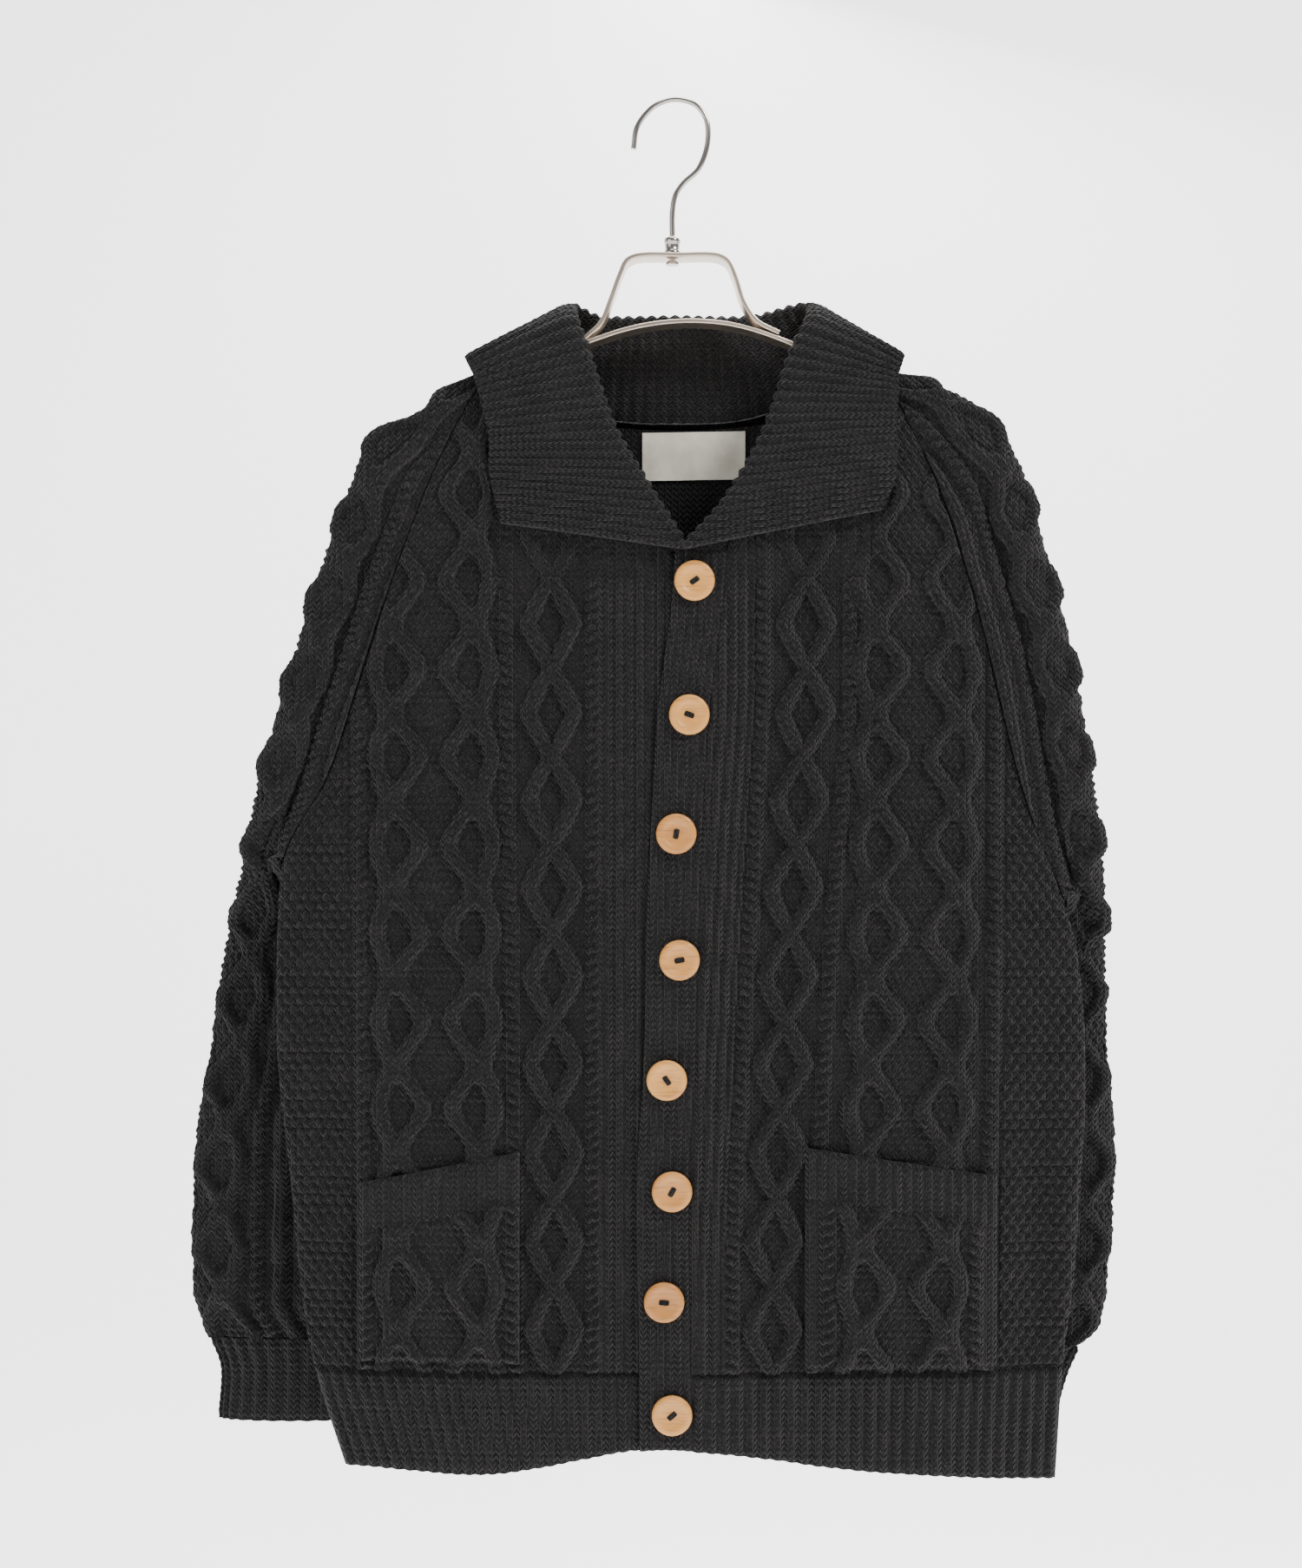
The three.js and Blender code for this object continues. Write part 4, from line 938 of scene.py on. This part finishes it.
@dataclass
class Hanger:
    """The metal hanger: a hook, a ferrule, a handle strip and a bar strip.

    Attributes:
        strip_depth: Depth of the strips along Y.
        strip_thick: Thickness of the strips.
        wire: Radius of the hook's wire.
        bar_line: The bar's middle line, x and z.
        handle_line: The handle's middle line.
        hook_line: The hook's middle line, from its tip to the ferrule.
        ferrule_place: Middle of the ferrule's foot.
    """

    strip_depth: float = 20.0
    strip_thick: float = 3.0
    wire: float = 1.9
    bar_line: tuple[tuple[float, float], ...] = (
        (-200, -244), (-170, -223), (-134, -199), (-100, -181), (-67, -167.5), (-30, -155.5), (5, -151),
        (40, -154), (79, -167), (134, -193), (175, -211.5), (206, -229))
    handle_line: tuple[tuple[float, float], ...] = (
        (-63, -162.5), (-52, -152), (-46, -138), (-39, -119), (-34, -109.5), (-24, -106), (0, -106),
        (25, -106), (34, -110), (39, -120), (45, -138), (54, -151), (69, -159))
    hook_line: tuple[tuple[float, float], ...] = (
        (-30, -31.9), (-27.5, -17), (-18, -4.5), (-8, 0.9), (1, 1.9), (12, -1.5), (19, -10), (21, -20),
        (19.5, -33), (14, -46), (4, -55.5), (-1.5, -64), (-3.5, -76), (-3.5, -91.4))
    ferrule_place: tuple[float, float, float] = (-3.5, 0, -104.2)

    def build(self) -> list[tuple[bpy.types.Object, str, str]]:
        """Return each piece with its node and its slot."""
        strip = strip_section(self.strip_thick, self.strip_depth, 0.7)
        ferrule = ((0, 0), (5.2, 0), (5.6, 0.5), (5.6, 2.2), (5.0, 2.8), (5.0, 7.6), (5.6, 8.2), (5.6, 10.4),
                   (4.6, 11.6), (3.0, 12.2), (0, 12.3))
        rivet = ((0, 0), (4.4, 0), (4.4, 1.2), (3.4, 2.4), (1.6, 3.1), (0, 3.2))
        x, y, z = self.ferrule_place
        return [
            (swept("metal_bar", self.bar_line, strip, 160), "hanger_bar", "strip"),
            (swept("metal_handle", self.handle_line, strip, 160), "hanger_handle", "strip"),
            (swept("hook_wire", self.hook_line, round_section(self.wire, 24), 150), "hanger_hook", "wire"),
            (lathed("hook_ferrule", ferrule, 40, self.ferrule_place, "up"), "hanger_ferrule", "wire"),
            (lathed("ferrule_rivet", rivet, 32, (x, y, z - 6.8), "up"), "", "wire"),
        ]


@dataclass
class Buttons:
    """Eight turned wooden buttons with a raised rim, a dished face and a sewn slot.

    Attributes:
        sides: Sides of a button.
        gap: Room between the band's ribs and a button.
        rib: Height of the band's ribs under a button.
    """

    sides: int = 72
    gap: float = 0.4
    rib: float = 1.2

    def outline(self) -> list[tuple[float, float]]:
        """Return the button's turned outline."""
        r, t = BUTTON_RADIUS, BUTTON_THICK
        rim = [(r - 2.6 + 2.6 * math.cos(a), t - 2.1 + 2.1 * math.sin(a)) for a in np.linspace(0, math.pi / 2, 7)]
        dish = [(r - 4.2, t - 0.12), (r - 5.0, t - 0.5), (r - 5.9, t - 1.0), (r - 7.2, t - 1.3), (3.0, t - 1.55)]
        return [(0, 0), (r - 1.6, 0), (r - 0.5, 0.5), (r, 1.3)] + rim + dish + [(0, t - 1.6)]

    def thread(self, name: str, place: tuple[float, float, float], turn: float) -> bpy.types.Object:
        """Return the dark thread that fills a button's slot: four strands side by side.

        Args:
            name: Object name.
            place: Middle of the slot.
            turn: Its angle in degrees.

        Returns:
            The joined strands.
        """
        points: list[Grid] = []
        faces: list[list[int]] = []
        sides, stations = 8, 13
        c, s = math.cos(math.radians(turn)), math.sin(math.radians(turn))
        for strand in range(4):
            offset = (strand - 1.5) * 0.85
            ends = 3.9 - 0.25 * abs(strand - 1.5)
            start = len(points)
            for along in np.linspace(-1, 1, stations):
                lift = 0.9 * math.sqrt(max(0.0, 1 - along**2)) - 0.15
                radius = 0.52 * (0.25 + 0.75 * math.sqrt(max(0.0, 1 - along**4)))
                for side in range(sides):
                    angle = 2 * math.pi * side / sides
                    u, v = along * ends, offset + radius * math.cos(angle)
                    points.append((place[0] + c * u - s * v, place[1] - lift - radius * math.sin(angle),
                                   place[2] + s * u + c * v))
            faces += tube(start, sides, stations)
            faces.append([start + i for i in range(sides)])
            faces.append([start + (stations - 1) * sides + i for i in range(sides)][::-1])
        return make_object(name, np.array(points) * MM, faces)

    def build(self) -> list[tuple[bpy.types.Object, str, str]]:
        """Return each button and thread with its node and its slot."""
        found = []
        for number, ((x, z), turn) in enumerate(zip(BUTTONS, BUTTON_TURNS), start=1):
            y = float(front_face(np.array(x), np.array(z))) - BAND_LIFT - self.rib - self.gap
            button = lathed(f"wooden_button_{number}", self.outline(), self.sides, (x, y, z), "front")
            place = (x, y - BUTTON_THICK + 1.7, z)
            found.append((button, f"button_{number}", "button"))
            found.append((self.thread(f"button_thread_{number}", place, turn), "", "knit"))
        return found


@dataclass
class Label:
    """The blank woven neck label, folded under at its ends and tacked along its top.

    Attributes:
        x0: Its end at the wearer's right.
        x1: Its end at the wearer's left.
        z0: Its top.
        z1: Its bottom.
    """

    x0: float = -24.0
    x1: float = 47.0
    z0: float = -223.0
    z1: float = -256.0

    def cloth(self) -> Cloth:
        """Return the label as a thin, slightly bowed wall."""
        share = shares(72)
        down = smooth_rows(36, 0, 1)
        x = mix(self.x0, self.x1, share)
        z = mix(self.z0 + 1.2 * share, self.z1 + 1.2 * share, down)
        bow = 0.5 * np.sin(np.pi * share) * down + 0.35 * np.sin(2 * np.pi * share * 2.3) * down**2
        y = back_face(x, z) - CLOTH - 1.4 - bow
        base = np.stack(np.broadcast_arrays(x, y, z), -1)
        return Cloth("neck_label", base, 0.35 * (np.abs(share - 0.5) > 0.47), thick=0.8, facing=(0, -1, 0))


class Wire:
    """One output socket of a material, which adds Math nodes when it is calculated with."""

    def __init__(self, tree: bpy.types.NodeTree, socket: bpy.types.NodeSocket) -> None:
        """Hold a socket of a node tree."""
        self.tree = tree
        self.socket = socket

    def _math(self, operation: str, first: Wire | float, second: Wire | float = 0.0) -> Wire:
        """Add a Math node and return its output."""
        node = self.tree.nodes.new("ShaderNodeMath")
        node.operation = operation
        for slot, value in zip(node.inputs, (first, second)):
            if isinstance(value, Wire):
                self.tree.links.new(value.socket, slot)
            else:
                slot.default_value = value
        return Wire(self.tree, node.outputs[0])

    def __add__(self, other: Wire | float) -> Wire:
        """Return the sum."""
        return self._math("ADD", self, other)

    def __sub__(self, other: Wire | float) -> Wire:
        """Return the difference."""
        return self._math("SUBTRACT", self, other)

    def __mul__(self, other: Wire | float) -> Wire:
        """Return the product."""
        return self._math("MULTIPLY", self, other)

    def __pow__(self, other: float) -> Wire:
        """Return a power."""
        return self._math("POWER", self, other)

    def sine(self) -> Wire:
        """Return the sine."""
        return self._math("SINE", self)

    def size(self) -> Wire:
        """Return the absolute value."""
        return self._math("ABSOLUTE", self)

    def fraction(self) -> Wire:
        """Return the part after the point."""
        return self._math("FRACT", self)


class Finish:
    """A material under construction: its tree, its shader and its object coordinates."""

    def __init__(self, name: str, **constants: float | tuple[float, ...]) -> None:
        """Start a material.

        Args:
            name: Material name.
            constants: Values of the shader's own sockets, their names written with underscores.
        """
        self.material = bpy.data.materials.new(name)
        self.material.use_nodes = True
        self.tree = self.material.node_tree
        self.shader = self.tree.nodes["Principled BSDF"]
        for socket, value in constants.items():
            self.shader.inputs[socket.replace("_", " ")].default_value = value
        self.place = self.node("ShaderNodeTexCoord", output="Object")

    def node(self, kind: str, settings: dict | None = None, output: int | str = 0, **values: object) -> Wire:
        """Add a node.

        Args:
            kind: The node's type.
            settings: Its properties, set first.
            output: The output to return.
            values: Values or wires of its sockets, by name with underscores, or by number as n0, n1 and so on.

        Returns:
            The wire of its output.
        """
        node = self.tree.nodes.new(kind)
        for key, value in (settings or {}).items():
            setattr(node, key, value)
        for key, value in values.items():
            numbered = key[0] == "n" and key[1:].isdigit()
            socket = node.inputs[int(key[1:]) if numbered else key.replace("_", " ")]
            if isinstance(value, Wire):
                self.tree.links.new(value.socket, socket)
            else:
                socket.default_value = value
        return Wire(self.tree, node.outputs[output])

    def axes(self) -> tuple[Wire, Wire, Wire]:
        """Return the object coordinates one by one."""
        return tuple(self.node("ShaderNodeSeparateXYZ", output=i, n0=self.place) for i in range(3))

    def noise(self, scale: float, detail: float = 3.0, stretch: tuple[float, float, float] | None = None) -> Wire:
        """Return noise of the object coordinates."""
        vector = self.place
        if stretch:
            vector = self.node("ShaderNodeVectorMath", {"operation": "MULTIPLY"}, n0=self.place, n1=stretch)
        return self.node("ShaderNodeTexNoise", Vector=vector, Scale=scale, Detail=detail)

    def ramp(self, factor: Wire, *stops: tuple[float, tuple[float, float, float]]) -> Wire:
        """Return a colour ramp of a factor."""
        wire = self.node("ShaderNodeValToRGB", n0=factor)
        ramp = wire.socket.node.color_ramp
        while len(ramp.elements) < len(stops):
            ramp.elements.new(0.5)
        for element, (at, colour) in zip(ramp.elements, stops):
            element.position = at
            element.color = (*colour, 1)
        return wire

    def blend(self, factor: Wire, first: Wire, second: Wire, mode: str = "MIX") -> Wire:
        """Return two colours mixed."""
        return self.node("ShaderNodeMix", {"data_type": "RGBA", "blend_type": mode}, output=2,
                         n0=factor, n6=first, n7=second)

    def bump(self, height: Wire, strength: float, distance: float) -> Wire:
        """Return a normal bumped by a height."""
        return self.node("ShaderNodeBump", Height=height, Strength=strength, Distance=distance)

    def feed(self, socket: str, wire: Wire) -> None:
        """Link a wire to the shader."""
        self.tree.links.new(wire.socket, self.shader.inputs[socket])


@dataclass(frozen=True)
class Wool:
    """Charcoal melange wool.

    Attributes:
        name: Material name.
        sideways: Turns the stitches' columns to run along X instead of Z.
        stitch: Column pitch in metres.
        row: Row pitch in metres.
    """

    name: str
    sideways: bool = False
    stitch: float = 0.0046
    row: float = 0.0040

    def make(self) -> bpy.types.Material:
        """Return the material: V stitches, loose hairs, dark and pale fibres mixed, and painted shade that keeps
        the gaps between stitches darker than their crests.
        """
        finish = Finish(self.name, Sheen_Weight=0.1, Sheen_Roughness=0.5, Specular_IOR_Level=0.14, Roughness=0.93,
                        Sheen_Tint=(0.75, 0.72, 0.7, 1))
        x, _, z = finish.axes()
        if self.sideways:
            x, z = z, x
        column = (x * (1 / self.stitch)).fraction() - 0.5
        lean = column.size() * 1.5
        rows = (z * (1 / self.row) + lean) * (2 * math.pi)
        stitch = rows.sine() * 0.5 + 0.5 - (column.size() * 2) ** 6 * 0.8
        fibre = finish.noise(1500, 4, (1, 1, 0.45))
        height = stitch * 0.75 + fibre * 0.5
        finish.feed("Normal", finish.bump(height, 1.0, 0.0016))
        fleck = finish.ramp(finish.noise(1500, 4, (1, 1, 0.4)),
                            (0.34, (0.0026, 0.0026, 0.0031)), (0.52, (0.0078, 0.0076, 0.0084)),
                            (0.66, (0.024, 0.0228, 0.0228)), (0.8, (0.09, 0.083, 0.078)))
        cloudy = finish.ramp(finish.noise(55, 4), (0.3, (0.72, 0.72, 0.74)), (0.7, (1.16, 1.13, 1.1)))
        # Painted shade and highlight: the stitch crests mix toward a lighter colour and the gaps between stitches
        # keep the darker fibre colour, standing in for light on the crests and shade in the crevices.
        lit_crest_colour = finish.ramp(fibre, (0.35, (0.0085, 0.0083, 0.009)), (0.7, (0.033, 0.031, 0.0305)))
        crest_and_gap_shade = finish.blend(stitch * 0.3, fleck, lit_crest_colour)
        finish.feed("Base Color", finish.blend(1.0, crest_and_gap_shade, cloudy, "MULTIPLY"))
        return finish.material


@dataclass(frozen=True)
class Timber:
    """Pale turned wood with fine darker grain, satin varnish over it.

    Attributes:
        name: Material name.
        warmth: From pale 0 to tan 1.
    """

    name: str
    warmth: float

    def make(self) -> bpy.types.Material:
        """Return the material."""
        finish = Finish(self.name, Roughness=0.42, Coat_Weight=0.25, Coat_Roughness=0.3, Specular_IOR_Level=0.4)
        w = self.warmth
        pale = (0.62 - 0.2 * w, 0.29 - 0.12 * w, 0.066 - 0.03 * w)
        dark = (0.40 - 0.15 * w, 0.165 - 0.07 * w, 0.034 - 0.012 * w)
        grain = finish.noise(160, 6, (0.35, 1, 4.5))
        rings = finish.noise(38, 2, (0.5, 1, 5))
        bright = tuple(1.08 * c for c in pale)
        mixed = finish.ramp(grain * 0.6 + rings * 0.4, (0.34, dark), (0.5, pale), (0.72, bright))
        finish.feed("Base Color", mixed)
        finish.feed("Roughness", grain * 0.2 + 0.33)
        finish.feed("Normal", finish.bump(grain, 0.25, 0.0003))
        return finish.material


@dataclass(frozen=True)
class Metal:
    """Hanger metal: satin strip or polished wire, with fine drawing lines along it.

    Attributes:
        name: Material name.
        colour: Linear red, green and blue.
        roughness: Roughness of the plain metal.
        brushed: How much the drawing lines add to it.
    """

    name: str
    colour: tuple[float, float, float]
    roughness: float
    brushed: float

    def make(self) -> bpy.types.Material:
        """Return the material."""
        finish = Finish(self.name, Metallic=1.0, Roughness=self.roughness)
        lines = finish.noise(260, 4, (0.06, 6, 0.06))
        patches = finish.noise(30, 3)
        tone = finish.ramp(lines * 0.5 + patches * 0.5, (0.3, tuple(0.86 * c for c in self.colour)),
                           (0.7, tuple(min(1.0, 1.1 * c) for c in self.colour)))
        finish.feed("Base Color", tone)
        finish.feed("Roughness", lines * self.brushed + patches * 0.08 + (self.roughness - 0.06))
        finish.feed("Normal", finish.bump(lines, 0.12, 0.0002))
        return finish.material


@dataclass(frozen=True)
class Tape:
    """Woven label tape."""

    name: str

    def make(self) -> bpy.types.Material:
        """Return the material: a fine satin weave, a little soiled."""
        finish = Finish(self.name, Roughness=0.8, Sheen_Weight=0.2)
        x, _, z = finish.axes()
        weave = (x * 9000.0).sine() * (z * 7000.0).sine()
        soil = finish.ramp(finish.noise(60, 4), (0.3, (0.50, 0.46, 0.37)), (0.7, (0.68, 0.65, 0.56)))
        finish.feed("Base Color", soil)
        finish.feed("Normal", finish.bump(weave, 0.3, 0.0002))
        return finish.material


@dataclass(frozen=True)
class Studio:
    """The pale floor and backdrop, soft lights and the camera at the photograph's angle.

    Attributes:
        lens: Focal length in millimetres.
        eye: Place of the camera in metres.
    """

    lens: float = 51.5
    eye: tuple[float, float, float] = (-0.018, -1.53, -0.465)

    def sweep(self) -> None:
        """Make the floor with its backdrop, one curved sheet."""
        profile = [(-6.0, -1.35)] + [(1.0 + 0.9 * math.sin(a), -0.45 - 0.9 * math.cos(a))
                                     for a in np.linspace(0, math.pi / 2, 16)] + [(1.9, 4.0)]
        points = [(x, y, z) for y, z in profile for x in (-7.0, 7.0)]
        faces = [[2 * i, 2 * i + 1, 2 * i + 3, 2 * i + 2] for i in range(len(profile) - 1)]
        sheet = make_object("studio_sweep", np.array(points), faces)
        finish = Finish("studio_paper", Roughness=0.9, Specular_IOR_Level=0.1, Emission_Color=(1, 1, 1, 1),
                        Emission_Strength=1.5)
        tone = finish.ramp(finish.noise(1.5, 2), (0.3, (0.90, 0.90, 0.90)), (0.7, (0.93, 0.93, 0.93)))
        finish.feed("Base Color", tone)
        sheet.data.materials.append(finish.material)

    def light(self, name: str, place: tuple[float, float, float], size: float, power: float) -> None:
        """Add a soft square light that faces the garment's middle."""
        data = bpy.data.lights.new(name, "AREA")
        data.shape = "SQUARE"
        data.size = size
        data.energy = power
        lamp = linked(name, data)
        lamp.location = place
        towards = np.array([0.0, 0.0, -0.5]) - np.array(place)
        yaw = math.atan2(towards[0], -towards[1])
        pitch = math.atan2(towards[2], math.hypot(towards[0], towards[1]))
        lamp.rotation_euler = (math.pi / 2 + pitch, 0, math.pi + yaw)

    def build(self) -> None:
        """Set up the studio."""
        self.sweep()
        self.light("key", (1.7, -1.5, 1.5), 0.7, 78)
        self.light("fill", (-2.2, -2.2, 0.2), 2.0, 22)
        self.light("overhead", (0.0, -0.5, 2.0), 1.2, 40)
        self.light("behind", (0.4, 1.2, 1.2), 1.4, 60)
        world = bpy.data.worlds.new("studio_air")
        world.use_nodes = True
        for socket, value in zip(world.node_tree.nodes["Background"].inputs, ((1, 1, 1, 1), 0.3)):
            socket.default_value = value
        bpy.context.scene.world = world
        data = bpy.data.cameras.new("camera")
        data.lens = self.lens
        data.sensor_width = 36
        data.clip_end = 30
        camera = linked("camera", data)
        camera.location = self.eye
        camera.rotation_euler = (math.pi / 2, 0, 0)
        bpy.context.scene.camera = camera


def attach(piece: bpy.types.Object, node: str, material: bpy.types.Material) -> None:
    """Dress a piece, let it ride on the body, and hide the node that it stands for."""
    piece.data.materials.append(material)
    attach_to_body(piece, "root")
    if node:
        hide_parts(node)
    LOG.info("%s: %d faces", piece.name, len(piece.data.polygons))


def dress(cloth: Cloth, node: str, material: bpy.types.Material) -> None:
    piece = cloth.build()
    attach(piece, node, material)


def main() -> None:
    """Build the cardigan, its buttons, its label and its hanger in the studio."""
    logging.basicConfig(level=logging.INFO, format="%(name)s: %(message)s")
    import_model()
    Studio().build()
    wool = Wool("charcoal_wool").make()
    sideways = Wool("charcoal_wool_sideways", sideways=True).make()
    for cloth, node in Body().pieces():
        dress(cloth, node, wool)
    for side in Side:
        sleeve = Sleeve(side)
        dress(sleeve.cloth(), f"sleeve_{side.tag}", wool)
        dress(sleeve.cuff(), f"cuff_{side.tag}", wool)
    dress(Collar().cloth(), "collar", sideways)
    dress(Label().cloth(), "label", Tape("cream_tape").make())
    metals = {"strip": Metal("champagne_satin", (0.66, 0.56, 0.46), 0.3, 0.16).make(),
              "wire": Metal("dark_polish", (0.46, 0.43, 0.40), 0.2, 0.08).make()}
    for piece, node, slot in Hanger().build():
        attach(piece, node, metals[slot])
    warmths = iter((0.15, 0.3, 0.75, 0.4, 0.1, 0.6, 0.95, 0.35))
    for piece, node, slot in Buttons().build():
        if slot == "button":
            attach(piece, node, Timber(f"pale_wood_{node}", next(warmths)).make())
        else:
            attach(piece, node, wool)


if __name__ == "__main__":
    main()
